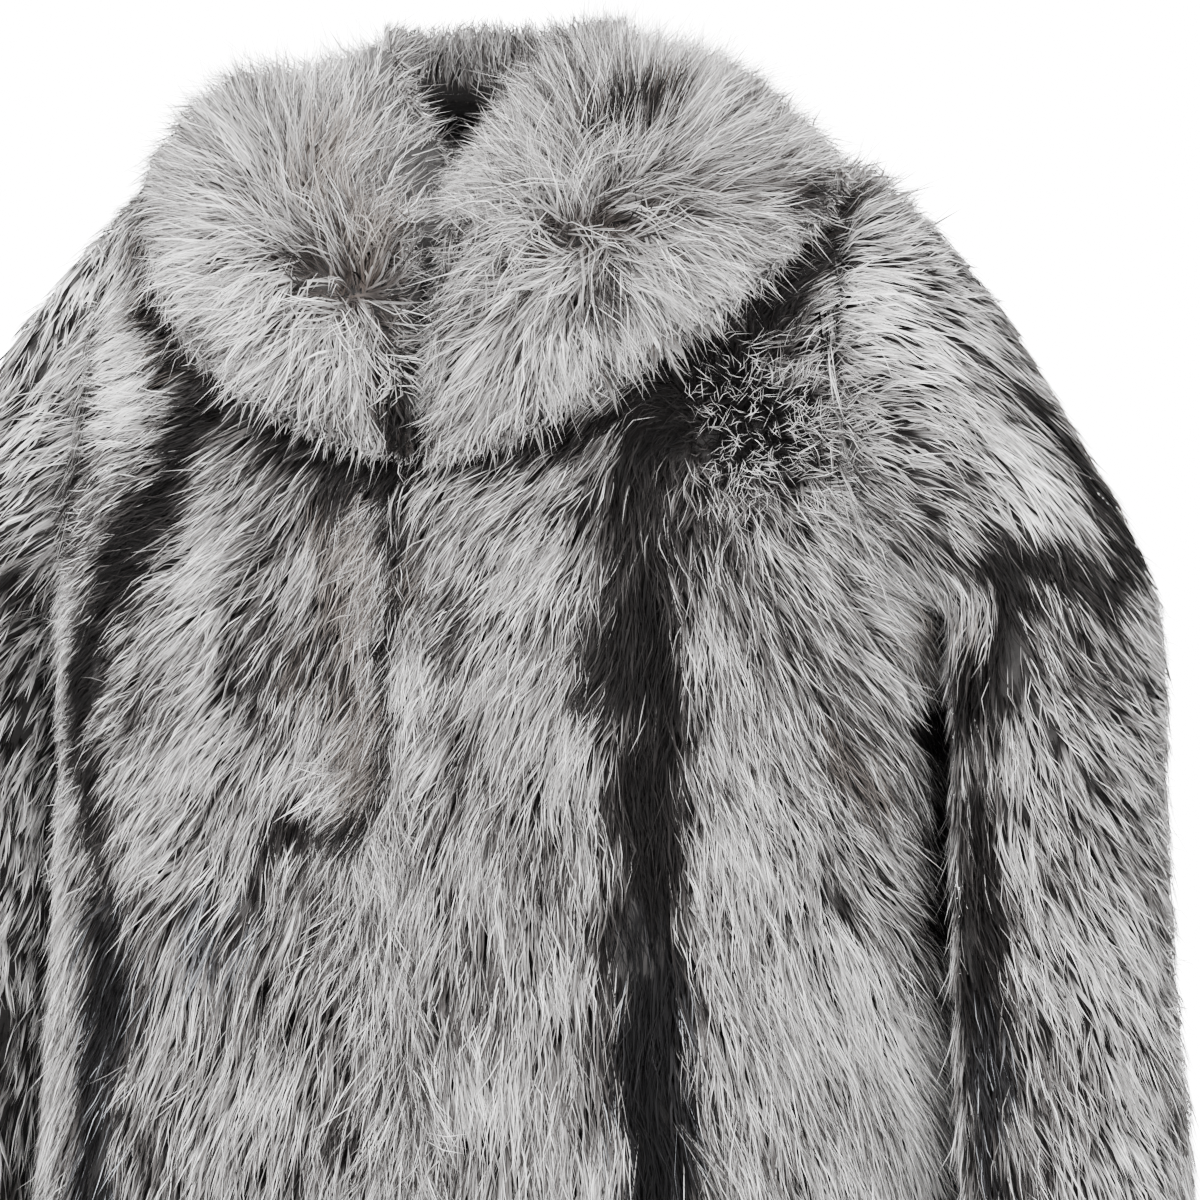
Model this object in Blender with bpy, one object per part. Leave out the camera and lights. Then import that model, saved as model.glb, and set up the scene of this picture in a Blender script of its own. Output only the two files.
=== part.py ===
"""A hip-length coat of long-haired fox fur in the hollow shape that it keeps when it is worn.

Six pieces as a furrier cuts and sews them: two fronts, a back, two set-in sleeves and a round
collar. Each is a wall from the inside of the pelt out to the tips of the lying fur. Fronts, back
and collar lie on one torso form, which is a stack of sections; a place on it is given by its
bearing (degrees round from the centre front, positive on the wearer's left) and by its run
(metres up the side of the form from the hem). Metres, +Z up, the wearer faces -Y.
"""

import math
from collections import namedtuple

import bmesh
import bpy
import numpy as np

# Sizes that drive the coat, in metres. Height 0 is where the coat hangs on the shoulders.
FUR_WALL = 0.022  # pelt and lying fur on the body
SLEEVE_WALL = 0.018  # the fur lies closer on the sleeves
SEAM_GAP = 0.00045  # between two sewn edges
CLOSURE_GAP = 0.0010  # between the two front edges, which only hook together
SECTION_POWER = 2.25  # 2 is an ellipse; a little more squares the sides
UNDERARM_HEIGHT = -0.243
SHOULDER_TIP_HEIGHT = -0.022
NECK_FRONT_HEIGHT = -0.075
NECK_SIDE_HEIGHT = 0.024
NECK_BACK_HEIGHT = 0.016
ARMHOLE_SWEEP = 21.0  # degrees that the armhole cuts into a front, and into the back
SIDE = 90.0  # bearing of the side and shoulder seams
BACK = 180.0

Section = namedtuple("Section", "height half_width front_depth back_depth")
TORSO = [
    Section(-0.800, 0.272, 0.196, 0.170),
    Section(-0.620, 0.258, 0.186, 0.163),
    Section(-0.480, 0.247, 0.179, 0.158),
    Section(-0.360, 0.241, 0.175, 0.155),
    Section(-0.245, 0.239, 0.169, 0.152),
    Section(-0.170, 0.236, 0.158, 0.149),
    Section(-0.110, 0.232, 0.145, 0.144),
    Section(-0.065, 0.226, 0.130, 0.137),
    Section(-0.038, 0.217, 0.119, 0.130),
    Section(-0.022, 0.203, 0.110, 0.122),
    Section(-0.010, 0.178, 0.103, 0.114),
    Section(0.001, 0.148, 0.095, 0.105),
    Section(0.013, 0.116, 0.086, 0.095),
    Section(0.026, 0.089, 0.077, 0.085),
    Section(0.040, 0.074, 0.070, 0.076),
]

# How far the front edges wander to the wearer's left of the centre.
EdgeDrift = namedtuple("EdgeDrift", "height aside")
FRONT_EDGE = [
    EdgeDrift(-0.800, 0.004),
    EdgeDrift(-0.620, 0.012),
    EdgeDrift(-0.512, 0.017),
    EdgeDrift(-0.455, 0.010),
    EdgeDrift(-0.384, -0.002),
    EdgeDrift(-0.346, -0.009),
    EdgeDrift(-0.310, -0.002),
    EdgeDrift(-0.274, 0.006),
    EdgeDrift(-0.201, 0.000),
    EdgeDrift(-0.130, 0.003),
    EdgeDrift(-0.075, 0.005),
]

# Soft troughs and ridges of the fur: where two pelts meet, or where the fur parts or folds.
# Rise is outwards, so a trough's is negative.
Fold = namedtuple("Fold", "bearing_top height_top bearing_foot height_foot half_width rise")
BODY_FOLDS = [
    Fold(-40, -0.130, -60, -0.272, 0.022, -0.006),
    Fold(-60, -0.272, -66, -0.330, 0.022, -0.006),
    Fold(-62, -0.350, -53, -0.400, 0.022, -0.005),
    Fold(-53, -0.400, -56, -0.800, 0.024, -0.005),
    Fold(41, -0.130, 39, -0.400, 0.022, -0.007),
    Fold(39, -0.400, 42, -0.800, 0.024, -0.005),
    Fold(-6, -0.338, -22, -0.376, 0.024, -0.009),
    Fold(-22, -0.376, -30, -0.440, 0.024, -0.006),
    Fold(-14, -0.420, -12, -0.560, 0.030, 0.005),
    Fold(65, -0.300, 74, -0.520, 0.024, -0.005),
    Fold(56, -0.180, 62, -0.300, 0.030, 0.004),
    Fold(14, -0.250, 16, -0.420, 0.030, 0.003),
    Fold(-30, -0.230, -38, -0.330, 0.028, 0.004),
    Fold(112, -0.240, 118, -0.800, 0.024, -0.006),
    Fold(146, -0.120, 148, -0.800, 0.024, -0.006),
    Fold(180, -0.150, 180, -0.800, 0.026, -0.006),
    Fold(214, -0.120, 212, -0.800, 0.024, -0.006),
    Fold(248, -0.240, 242, -0.800, 0.024, -0.006),
    Fold(130, -0.300, 133, -0.620, 0.032, 0.004),
    Fold(230, -0.280, 226, -0.560, 0.032, 0.004),
    Fold(164, -0.420, 166, -0.700, 0.030, 0.003),
    Fold(196, -0.240, 195, -0.480, 0.030, 0.003),
]

# A sleeve's head turns about the underarm: at each turn from upright, how far its top reaches.
Turn = namedtuple("Turn", "degrees reach half_depth blend")
SLEEVE_HEAD = [
    Turn(-2.6, 0.194, 0.088, 0.55),
    Turn(6.6, 0.157, 0.088, 0.9),
    Turn(17.4, 0.127, 0.088, 1.0),
    Turn(29.0, 0.110, 0.087, 1.0),
    Turn(41.0, 0.100, 0.085, 1.0),
    Turn(57.0, 0.096, 0.083, 1.0),
    Turn(74.0, 0.096, 0.082, 1.0),
    Turn(90.0, 0.101, 0.081, 1.0),
]
UNDERARM_CLEARANCE = 0.004  # sleeve fur off the body fur
UNDERARM_BAND = 0.02  # the sleeve is kept clear of the body from this far above the underarm
PIVOT_OUT = 0.004  # the axis that the sleeve's head turns about lies this far off the body
PIVOT_UP = 0.003

# Below its head the sleeve hangs down the body's side.
SleeveRing = namedtuple("SleeveRing", "height outer_reach half_depth forward")
SLEEVE = [
    SleeveRing(-0.262, 0.346, 0.081, 0.000),
    SleeveRing(-0.290, 0.347, 0.081, 0.000),
    SleeveRing(-0.320, 0.347, 0.081, 0.001),
    SleeveRing(-0.350, 0.348, 0.081, 0.002),
    SleeveRing(-0.385, 0.351, 0.081, 0.005),
    SleeveRing(-0.420, 0.354, 0.081, 0.008),
    SleeveRing(-0.460, 0.359, 0.081, 0.012),
    SleeveRing(-0.500, 0.363, 0.081, 0.017),
    SleeveRing(-0.545, 0.368, 0.081, 0.023),
    SleeveRing(-0.590, 0.373, 0.082, 0.029),
    SleeveRing(-0.630, 0.377, 0.083, 0.034),
]
SLEEVE_POWER = 2.3

# Rows and columns of the walls.
SIDE_ROWS = 24
ARMHOLE_ROWS = 12
NECK_ROWS = 5
FRONT_COLUMNS = 18
SHOULDER_COLUMNS = 6
BACK_NECK_COLUMNS = 14

# The collar, by bearing: how far down its edge falls, how thick it is, and how high it stands.
CollarCut = namedtuple("CollarCut", "bearing edge_height loft stand_height")
COLLAR = [
    CollarCut(-180, -0.062, 0.048, 0.050),
    CollarCut(-140, -0.022, 0.042, 0.049),
    CollarCut(-115, 0.003, 0.034, 0.048),
    CollarCut(-90, 0.005, 0.030, 0.046),
    CollarCut(-70, 0.000, 0.033, 0.044),
    CollarCut(-57, -0.034, 0.042, 0.037),
    CollarCut(-47, -0.072, 0.050, 0.028),
    CollarCut(-38, -0.104, 0.057, 0.018),
    CollarCut(-30, -0.124, 0.060, 0.008),
    CollarCut(-19, -0.140, 0.058, -0.008),
    CollarCut(-8, -0.152, 0.054, -0.028),
    CollarCut(7, -0.160, 0.050, -0.032),
    CollarCut(22, -0.152, 0.056, -0.008),
    CollarCut(37, -0.125, 0.060, 0.010),
    CollarCut(52, -0.094, 0.054, 0.024),
    CollarCut(64, -0.060, 0.044, 0.033),
    CollarCut(75, -0.026, 0.035, 0.039),
    CollarCut(88, 0.000, 0.029, 0.044),
    CollarCut(112, 0.003, 0.032, 0.048),
    CollarCut(140, -0.022, 0.042, 0.049),
    CollarCut(180, -0.062, 0.048, 0.050),
]
COLLAR_SEAT_AT_NECK = 0.0008  # collar off the body's fur
COLLAR_SEAT_AT_EDGE = 0.0036
COLLAR_COLUMNS = 48
COLLAR_FALL_POINTS = 8
COLLAR_STAND_POINTS = 3
COLLAR_MEETING = 7.0  # bearing of the line where the two ends of the collar meet
COLLAR_END_GAP = 1.6  # degrees between that line and each end
COLLAR_THROAT = 0.060  # inside radius of the standing collar
COLLAR_EDGE_THICKNESS = 0.006
COLLAR_END_ROUNDING = 26.0  # degrees over which an end thins
COLLAR_END_FULLNESS = 0.45  # what is left of its loft at the very end
COLLAR_TILT_AT_EDGE = -25.0  # degrees above level in which the fur stands off the collar's skin
COLLAR_TILT_AT_NECK = 100.0
COLLAR_CROWN_SHIFT = 0.85  # under 1 puts the thickest place nearer the edge than the neck
COLLAR_CROWN_BREADTH = 0.65  # under 1 makes the roll fuller away from its thickest place

PELT = {
    "front_left": (0.56, 0.54, 0.53),
    "front_right": (0.54, 0.52, 0.52),
    "back": (0.50, 0.48, 0.48),
    "sleeve_left": (0.58, 0.56, 0.56),
    "sleeve_right": (0.57, 0.55, 0.55),
    "collar": (0.62, 0.60, 0.59),
}
FUR_ROUGHNESS = 0.75


# ---------------------------------------------------------------- curves and the torso form


def curve_through(knots, values):
    """A smooth function through the given values, at rising knots."""
    knots, values = np.asarray(knots, float), np.asarray(values, float)
    slopes = np.gradient(values, knots)

    def at(place):
        place = np.clip(place, knots[0], knots[-1])
        i = np.clip(np.searchsorted(knots, place) - 1, 0, len(knots) - 2)
        span = knots[i + 1] - knots[i]
        t = (place - knots[i]) / span
        ahead, behind = slopes[i + 1] * span, slopes[i] * span
        rise = values[i + 1] - values[i]
        return (
            values[i]
            + behind * t
            + (3 * rise - 2 * behind - ahead) * t**2
            + (behind + ahead - 2 * rise) * t**3
        )

    return at


def column(rows, name):
    return [getattr(row, name) for row in rows]


TORSO_STEPS = np.hypot(np.diff(column(TORSO, "height")), np.diff(column(TORSO, "half_width")))
TORSO_RUNS = np.concatenate([[0.0], np.cumsum(TORSO_STEPS)])
height_at = curve_through(TORSO_RUNS, column(TORSO, "height"))
half_width_at = curve_through(TORSO_RUNS, column(TORSO, "half_width"))
front_depth_at = curve_through(TORSO_RUNS, column(TORSO, "front_depth"))
back_depth_at = curve_through(TORSO_RUNS, column(TORSO, "back_depth"))
edge_drift_at = curve_through(column(FRONT_EDGE, "height"), column(FRONT_EDGE, "aside"))


def run_at(height):
    """The run at which the torso form has this height."""
    runs = np.linspace(0, TORSO_RUNS[-1], 2000)
    return np.interp(height, height_at(runs), runs)


def torso(bearing, run):
    """Points of the torso form, which the outer faces of the fur follow."""
    angle = np.radians(bearing)
    across, ahead = np.sin(angle), np.cos(angle)
    depth = np.where(ahead > 0, front_depth_at(run), back_depth_at(run))
    radius = (
        np.abs(across / half_width_at(run)) ** SECTION_POWER
        + np.abs(ahead / depth) ** SECTION_POWER
    ) ** (-1 / SECTION_POWER)
    return np.stack([radius * across, -radius * ahead, height_at(run) + 0 * angle], -1)


def unit(vectors):
    return vectors / np.linalg.norm(vectors, axis=-1, keepdims=True)


def torso_normal(bearing, run):
    turn, lift = 0.5, 0.001
    along = torso(bearing + turn, run) - torso(bearing - turn, run)
    up = torso(bearing, run + lift) - torso(bearing, run - lift)
    return unit(np.cross(along, up))


def fold_rise(bearing, run):
    """How far the folds lift the fur's surface at a place on the body."""
    height, radius = height_at(run), half_width_at(run)
    rise = 0 * height
    for fold in BODY_FOLDS:
        top = np.array([np.radians(fold.bearing_top), fold.height_top])
        foot = np.array([np.radians(fold.bearing_foot), fold.height_foot])
        turn = (np.radians(bearing) - top[0] + math.pi) % (2 * math.pi) - math.pi
        line = foot - top
        share = np.clip((height - top[1]) / line[1], 0, 1)
        aside = (turn - share * line[0]) * radius
        beyond = height - (top[1] + share * line[1])
        away = np.hypot(aside, beyond) / fold.half_width
        rise = rise + fold.rise * np.exp(-(away**2))
    return rise


def body_wall(bearing, run):
    """Outer and inner points of a body wall at these places."""
    skin = torso(bearing, run)
    normal = torso_normal(bearing, run)
    rise = fold_rise(bearing, run)
    return skin + rise[..., None] * normal, skin - FUR_WALL * normal


# ---------------------------------------------------------------- seams, as bearings and runs


def neckline_height(bearing):
    low = np.where(np.abs(bearing - BACK) < SIDE, NECK_BACK_HEIGHT, NECK_FRONT_HEIGHT)
    return low + (NECK_SIDE_HEIGHT - low) * np.abs(np.sin(np.radians(bearing))) ** 0.7


def front_edge_bearing(run):
    return np.degrees(np.arctan2(edge_drift_at(height_at(run)), front_depth_at(run)))


def armhole_seam(side_sign):
    """From the underarm to the shoulder tip, cutting in towards the front (-1) or the back (+1)."""
    way = np.linspace(0, math.pi, ARMHOLE_ROWS + 1)
    bottom, top = run_at(UNDERARM_HEIGHT), run_at(SHOULDER_TIP_HEIGHT)
    run = bottom + (top - bottom) * (1 - np.cos(way)) / 2
    return SIDE + side_sign * ARMHOLE_SWEEP * np.sin(way) ** 0.8, run


def side_edge(side_sign):
    """The side seam from the hem up, then the armhole."""
    seam_run = np.linspace(0, run_at(UNDERARM_HEIGHT), SIDE_ROWS + 1)
    bearing, run = armhole_seam(side_sign)
    return (
        np.concatenate([np.full(SIDE_ROWS, SIDE), bearing]),
        np.concatenate([seam_run[:-1], run]),
    )


def front_panel_places(side_sign):
    """Bearings and runs of a front, by row from hem to shoulder and from its edge outwards.

    Both fronts share the line of the front edge, which isn't quite central.
    """
    rows = SIDE_ROWS + ARMHOLE_ROWS
    edge_run = np.linspace(0, run_at(NECK_FRONT_HEIGHT), rows - NECK_ROWS + 1)
    edge_bearing = front_edge_bearing(edge_run)
    neck_bearing = np.linspace(edge_bearing[-1], side_sign * SIDE, NECK_ROWS + 1)[1:]
    near_bearing = np.concatenate([edge_bearing, neck_bearing])
    near_run = np.concatenate([edge_run, run_at(neckline_height(neck_bearing))])
    far_bearing, far_run = side_edge(-1)
    share = np.linspace(0, 1, FRONT_COLUMNS + 1)
    return (
        near_bearing[:, None] * (1 - share) + side_sign * far_bearing[:, None] * share,
        near_run[:, None] * (1 - share) + far_run[:, None] * share,
    )


def back_panel_places():
    """Bearings and runs of the back, by row from hem to neck and from its left side to its right."""
    rows = SIDE_ROWS + ARMHOLE_ROWS
    left_bearing, left_run = side_edge(+1)
    right_bearing = 2 * BACK - left_bearing
    tip_run, neck_run = run_at(SHOULDER_TIP_HEIGHT), run_at(NECK_SIDE_HEIGHT)
    shoulder = np.linspace(tip_run, neck_run, SHOULDER_COLUMNS + 1)
    neck_bearing = np.linspace(SIDE, 2 * BACK - SIDE, BACK_NECK_COLUMNS + 1)
    neck = run_at(neckline_height(neck_bearing))
    top_run = np.concatenate([shoulder[:-1], neck, shoulder[-2::-1]])
    top_bearing = np.concatenate(
        [
            np.full(SHOULDER_COLUMNS, SIDE),
            neck_bearing,
            np.full(SHOULDER_COLUMNS, 2 * BACK - SIDE),
        ]
    )
    share = np.linspace(0, 1, len(top_run))
    above_underarm = np.clip((np.arange(rows + 1) - SIDE_ROWS) / ARMHOLE_ROWS, 0, 1)
    pull = (above_underarm**1.6)[:, None]
    level_bearing = SIDE + share * 2 * (BACK - SIDE)
    bearing = left_bearing[:, None] * (1 - share) + right_bearing[:, None] * share
    run = left_run[:, None] + 0 * share
    return (
        bearing + pull * (top_bearing - level_bearing),
        run + pull * (top_run - tip_run),
    )


# ---------------------------------------------------------------- walls


def draw_in(wall, edge, distance):
    """Moves one edge of a wall, both faces alike, back towards the wall's middle."""
    outer, inner = wall
    rim, next_in = {
        "left": (np.s_[:, 0], np.s_[:, 1]),
        "right": (np.s_[:, -1], np.s_[:, -2]),
        "top": (np.s_[-1, :], np.s_[-2, :]),
    }[edge]
    along = unit(np.gradient(outer[rim], axis=0))
    back = outer[next_in] - outer[rim]
    back = unit(back - np.sum(back * along, -1, keepdims=True) * along)
    outer[rim] += distance * back
    inner[rim] += distance * back


def quad_strip(first, second):
    """Faces between two equally long rows of vertices."""
    return [
        (first[i], first[i + 1], second[i + 1], second[i])
        for i in range(len(first) - 1)
    ]


def seam_strip(outside, inside):
    """Triangles across a wall's edge, split the shorter way, so that two sewn edges match."""
    triangles = []
    for a, b, c, d in quad_strip(outside, inside):
        if (a.co - c.co).length < (b.co - d.co).length:
            triangles += [(a, b, c), (a, c, d)]
        else:
            triangles += [(a, b, d), (b, c, d)]
    return triangles


def wall_object(name, outer, inner, tube=False):
    """A closed wall between two grids of points. A tube's columns go all the way round."""
    rows, columns = outer.shape[:2]
    mesh = bmesh.new()
    grids = [[mesh.verts.new(point) for point in grid.reshape(-1, 3)] for grid in (outer, inner)]
    outside, inside = (
        [grid[row * columns : (row + 1) * columns] for row in range(rows)] for grid in grids
    )
    if tube:
        outside, inside = ([row + row[:1] for row in side] for side in (outside, inside))
    faces = []
    for row in range(rows - 1):
        faces += quad_strip(outside[row], outside[row + 1])
        faces += quad_strip(inside[row + 1], inside[row])
    for end in (0, -1):
        faces += seam_strip(outside[end], inside[end])
        if not tube:
            faces += seam_strip([row[end] for row in outside], [row[end] for row in inside])
    for face in faces:
        mesh.faces.new(face)
    bmesh.ops.recalc_face_normals(mesh, faces=mesh.faces)
    data = bpy.data.meshes.new(name)
    mesh.to_mesh(data)
    mesh.free()
    data.shade_smooth()
    data.set_sharp_from_angle(angle=math.radians(50))
    obj = bpy.data.objects.new(name, data)
    obj.data.materials.append(fur_material(name))
    return obj


def fur_material(name):
    material = bpy.data.materials.new(name + "_fur")
    material.use_nodes = True
    shader = material.node_tree.nodes["Principled BSDF"]
    shader.inputs["Base Color"].default_value = (*PELT[name], 1)
    shader.inputs["Roughness"].default_value = FUR_ROUGHNESS
    shader.inputs["Metallic"].default_value = 0.0
    return material


def mirrored(points):
    return points * np.array([-1.0, 1.0, 1.0])


# ---------------------------------------------------------------- the pieces


def front(name, side_sign):
    """The wearer's left front (+1) or right front (-1)."""
    wall = body_wall(*front_panel_places(side_sign))
    draw_in(wall, "left", CLOSURE_GAP / 2)
    draw_in(wall, "right", SEAM_GAP / 2)
    draw_in(wall, "top", SEAM_GAP / 2)
    return wall_object(name, *wall)


def back():
    wall = body_wall(*back_panel_places())
    draw_in(wall, "left", SEAM_GAP / 2)
    draw_in(wall, "right", SEAM_GAP / 2)
    draw_in(wall, "top", SEAM_GAP / 2)
    return wall_object("back", *wall)


def armhole_ring():
    """Outer and inner points all round the left armhole, from the underarm up the front."""
    fore_bearing, fore_run = armhole_seam(-1)
    aft_bearing, aft_run = armhole_seam(+1)
    bearing = np.concatenate([fore_bearing, aft_bearing[-2:0:-1]])
    run = np.concatenate([fore_run, aft_run[-2:0:-1]])
    outer, inner = body_wall(bearing, run)
    along = np.roll(outer, -1, axis=0) - np.roll(outer, 1, axis=0)
    into_hole = unit(np.cross(along, torso_normal(bearing, run)))
    step = SEAM_GAP / 2 * into_hole
    return outer + step, inner + step


def sleeve_section(way, centre, half_reach, half_depth):
    """A ring as (reach, forward) pairs, from the underarm round the front to the top and back."""
    reach, side = -np.cos(way), np.sin(way)
    power = 2 / SLEEVE_POWER
    return (
        centre + half_reach * np.sign(reach) * np.abs(reach) ** power,
        half_depth * np.sign(side) * np.abs(side) ** power,
    )


def clear_of_body(points, clearance):
    """Moves sleeve points outwards until they are clear of the body's side."""
    run = run_at(np.minimum(points[:, 2], UNDERARM_HEIGHT))
    depth = np.where(points[:, 1] < 0, front_depth_at(run), back_depth_at(run))
    share = np.minimum(np.abs(points[:, 1]) / depth, 1)
    side = half_width_at(run) * (1 - share**SECTION_POWER) ** (1 / SECTION_POWER)
    low = points[:, 2] < UNDERARM_HEIGHT + UNDERARM_BAND
    points[:, 0] = np.where(low, np.maximum(points[:, 0], side + clearance), points[:, 0])
    return points


def sleeve_rings():
    """Outer and inner rings of the left sleeve from the armhole to the cuff."""
    outer_start, inner_start = armhole_ring()
    way = np.linspace(0, 2 * math.pi, len(outer_start), endpoint=False)
    pivot = np.array(
        [half_width_at(run_at(UNDERARM_HEIGHT)) + PIVOT_OUT, 0, UNDERARM_HEIGHT + PIVOT_UP]
    )
    outer, inner = [outer_start], [inner_start]
    for turn in SLEEVE_HEAD:
        lean = math.radians(turn.degrees)
        out_along = np.array([math.sin(lean), 0, math.cos(lean)])
        for rings, start, wall in ((outer, outer_start, 0), (inner, inner_start, SLEEVE_WALL)):
            reach, forward = sleeve_section(
                way, turn.reach / 2, turn.reach / 2 - wall, turn.half_depth - wall
            )
            target = pivot + reach[:, None] * out_along + forward[:, None] * np.array([0, -1, 0])
            rings.append(start + turn.blend * (target - start) if turn.blend < 1 else target)
    for ring in SLEEVE:
        near = half_width_at(run_at(ring.height)) + UNDERARM_CLEARANCE
        centre, half = (ring.outer_reach + near) / 2, (ring.outer_reach - near) / 2
        for rings, wall in ((outer, 0), (inner, SLEEVE_WALL)):
            reach, forward = sleeve_section(way, centre, half - wall, ring.half_depth - wall)
            heights = np.full(len(way), ring.height)
            rings.append(np.stack([reach, -forward - ring.forward, heights], -1))
    return np.array(outer), np.array(inner)


def sleeves():
    outer, inner = sleeve_rings()
    for row in range(len(SLEEVE_HEAD) - 1, len(outer)):
        outer[row] = clear_of_body(outer[row], UNDERARM_CLEARANCE)
        inner[row] = clear_of_body(inner[row], UNDERARM_CLEARANCE + SLEEVE_WALL)
    return [
        wall_object("sleeve_left", outer, inner, tube=True),
        wall_object("sleeve_right", mirrored(outer), mirrored(inner), tube=True),
    ]


def collar():
    """A thick roll of fur: it is seated on the body, stands at the neck and falls to its edge."""
    bearing = np.linspace(
        COLLAR_MEETING + COLLAR_END_GAP, 360 + COLLAR_MEETING - COLLAR_END_GAP, COLLAR_COLUMNS + 1
    )
    signed = (bearing + BACK) % 360 - BACK
    bearings = column(COLLAR, "bearing")
    edge_height = curve_through(bearings, column(COLLAR, "edge_height"))(signed)
    loft = curve_through(bearings, column(COLLAR, "loft"))(signed)
    stand_height = curve_through(bearings, column(COLLAR, "stand_height"))(signed)
    neck_run, edge_run = run_at(neckline_height(np.abs(signed))), run_at(edge_height)

    fall_share = np.linspace(0, 1, COLLAR_FALL_POINTS)[:, None]
    fall_run = edge_run + (neck_run - edge_run) * fall_share
    fall_bearing = bearing + 0 * fall_share
    lift = COLLAR_SEAT_AT_EDGE + (COLLAR_SEAT_AT_NECK - COLLAR_SEAT_AT_EDGE) * fall_share**2
    seat = torso(fall_bearing, fall_run)
    seat = seat + lift[..., None] * torso_normal(fall_bearing, fall_run)

    out = np.stack([np.sin(np.radians(bearing)), -np.cos(np.radians(bearing)), 0 * bearing], -1)
    up = np.array([0.0, 0.0, 1.0])
    foot_height = height_at(neck_run) + FUR_WALL / 3
    stand_share = np.linspace(0, 1, COLLAR_STAND_POINTS + 1)[:, None]
    height = foot_height + stand_share * (stand_height - foot_height)
    stand = COLLAR_THROAT * out + height[..., None] * up
    under = np.concatenate([seat, stand])

    share = np.linspace(0, 1, len(under))[:, None]
    tilt = COLLAR_TILT_AT_EDGE + share * (COLLAR_TILT_AT_NECK - COLLAR_TILT_AT_EDGE)
    tilt = np.radians(tilt)[..., None]
    from_end = np.minimum(bearing - bearing[0], bearing[-1] - bearing) / COLLAR_END_ROUNDING
    roundness = np.sqrt(1 - (1 - np.minimum(from_end, 1)) ** 2)
    fullness = COLLAR_END_FULLNESS + (1 - COLLAR_END_FULLNESS) * roundness
    crown = np.sin(math.pi * share**COLLAR_CROWN_SHIFT) ** COLLAR_CROWN_BREADTH
    thick = COLLAR_EDGE_THICKNESS + (loft * fullness - COLLAR_EDGE_THICKNESS) * crown
    over = under + thick[..., None] * (np.cos(tilt) * out + np.sin(tilt) * up)
    return wall_object("collar", over, under)


def main():
    for obj in list(bpy.data.objects):
        bpy.data.objects.remove(obj)
    coat = bpy.data.collections.new("fur_coat")
    bpy.context.scene.collection.children.link(coat)
    pieces = [front("front_left", +1), front("front_right", -1), back(), *sleeves(), collar()]
    for piece in pieces:
        coat.objects.link(piece)


main()
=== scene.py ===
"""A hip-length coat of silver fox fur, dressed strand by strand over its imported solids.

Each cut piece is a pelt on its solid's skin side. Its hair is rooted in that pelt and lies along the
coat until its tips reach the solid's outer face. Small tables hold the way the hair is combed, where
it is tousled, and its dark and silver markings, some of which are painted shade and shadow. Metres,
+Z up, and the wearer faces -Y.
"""

import functools
import math
from collections import namedtuple

import bpy
import numpy as np
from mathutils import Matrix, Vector
from mathutils.bvhtree import BVHTree


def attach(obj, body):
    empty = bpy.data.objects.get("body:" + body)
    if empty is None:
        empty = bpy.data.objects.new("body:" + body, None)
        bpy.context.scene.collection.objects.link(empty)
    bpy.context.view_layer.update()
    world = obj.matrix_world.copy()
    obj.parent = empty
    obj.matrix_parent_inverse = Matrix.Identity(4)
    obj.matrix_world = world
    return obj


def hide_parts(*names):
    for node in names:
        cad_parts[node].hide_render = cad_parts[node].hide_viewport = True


bl_info = {
    "name": "Silver fox coat",
    "version": (1, 0, 0),
    "blender": (4, 5, 0),
    "location": "3D View > Sidebar > Coat",
    "description": "Grows the fur of a hip-length fox coat on its cut pieces",
    "category": "Object",
}

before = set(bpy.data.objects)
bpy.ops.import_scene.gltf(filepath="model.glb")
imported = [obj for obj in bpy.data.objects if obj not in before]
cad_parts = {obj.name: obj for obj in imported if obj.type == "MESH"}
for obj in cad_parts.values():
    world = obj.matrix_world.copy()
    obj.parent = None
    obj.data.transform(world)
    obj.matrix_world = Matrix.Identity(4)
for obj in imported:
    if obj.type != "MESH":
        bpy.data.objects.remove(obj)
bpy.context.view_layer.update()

BODY_NODES = ("front_left", "front_right", "back")
SLEEVE_NODES = ("sleeve_left", "sleeve_right")
NODES = (*BODY_NODES, *SLEEVE_NODES, "collar")

# The side of the coat that is looked at most, where the hair is finest and densest: the way towards
# whoever looks, what is right and up to them, and how far round and down that side goes.
SHOWN_WAY = np.array([0.342, -0.939, 0.035])
SHOWN_RIGHT = np.array([0.940, 0.342, 0.0])
SHOWN_UP = np.array([-0.012, 0.033, 0.999])
SHOWN_FACED = -0.30
SHOWN_DOWN_TO = -0.55
HEM_HEIGHT = -0.8017  # where the solids end
CUFF_HEIGHT = -0.630

# ---------------- how the hair is combed


def in_metres(kind, *rows):
    """These rows of millimetres as metres. Each ends with an angle, which stays as it is."""
    return [kind(*(size / 1000 for size in row[:-1]), row[-1]) for row in rows]


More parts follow.
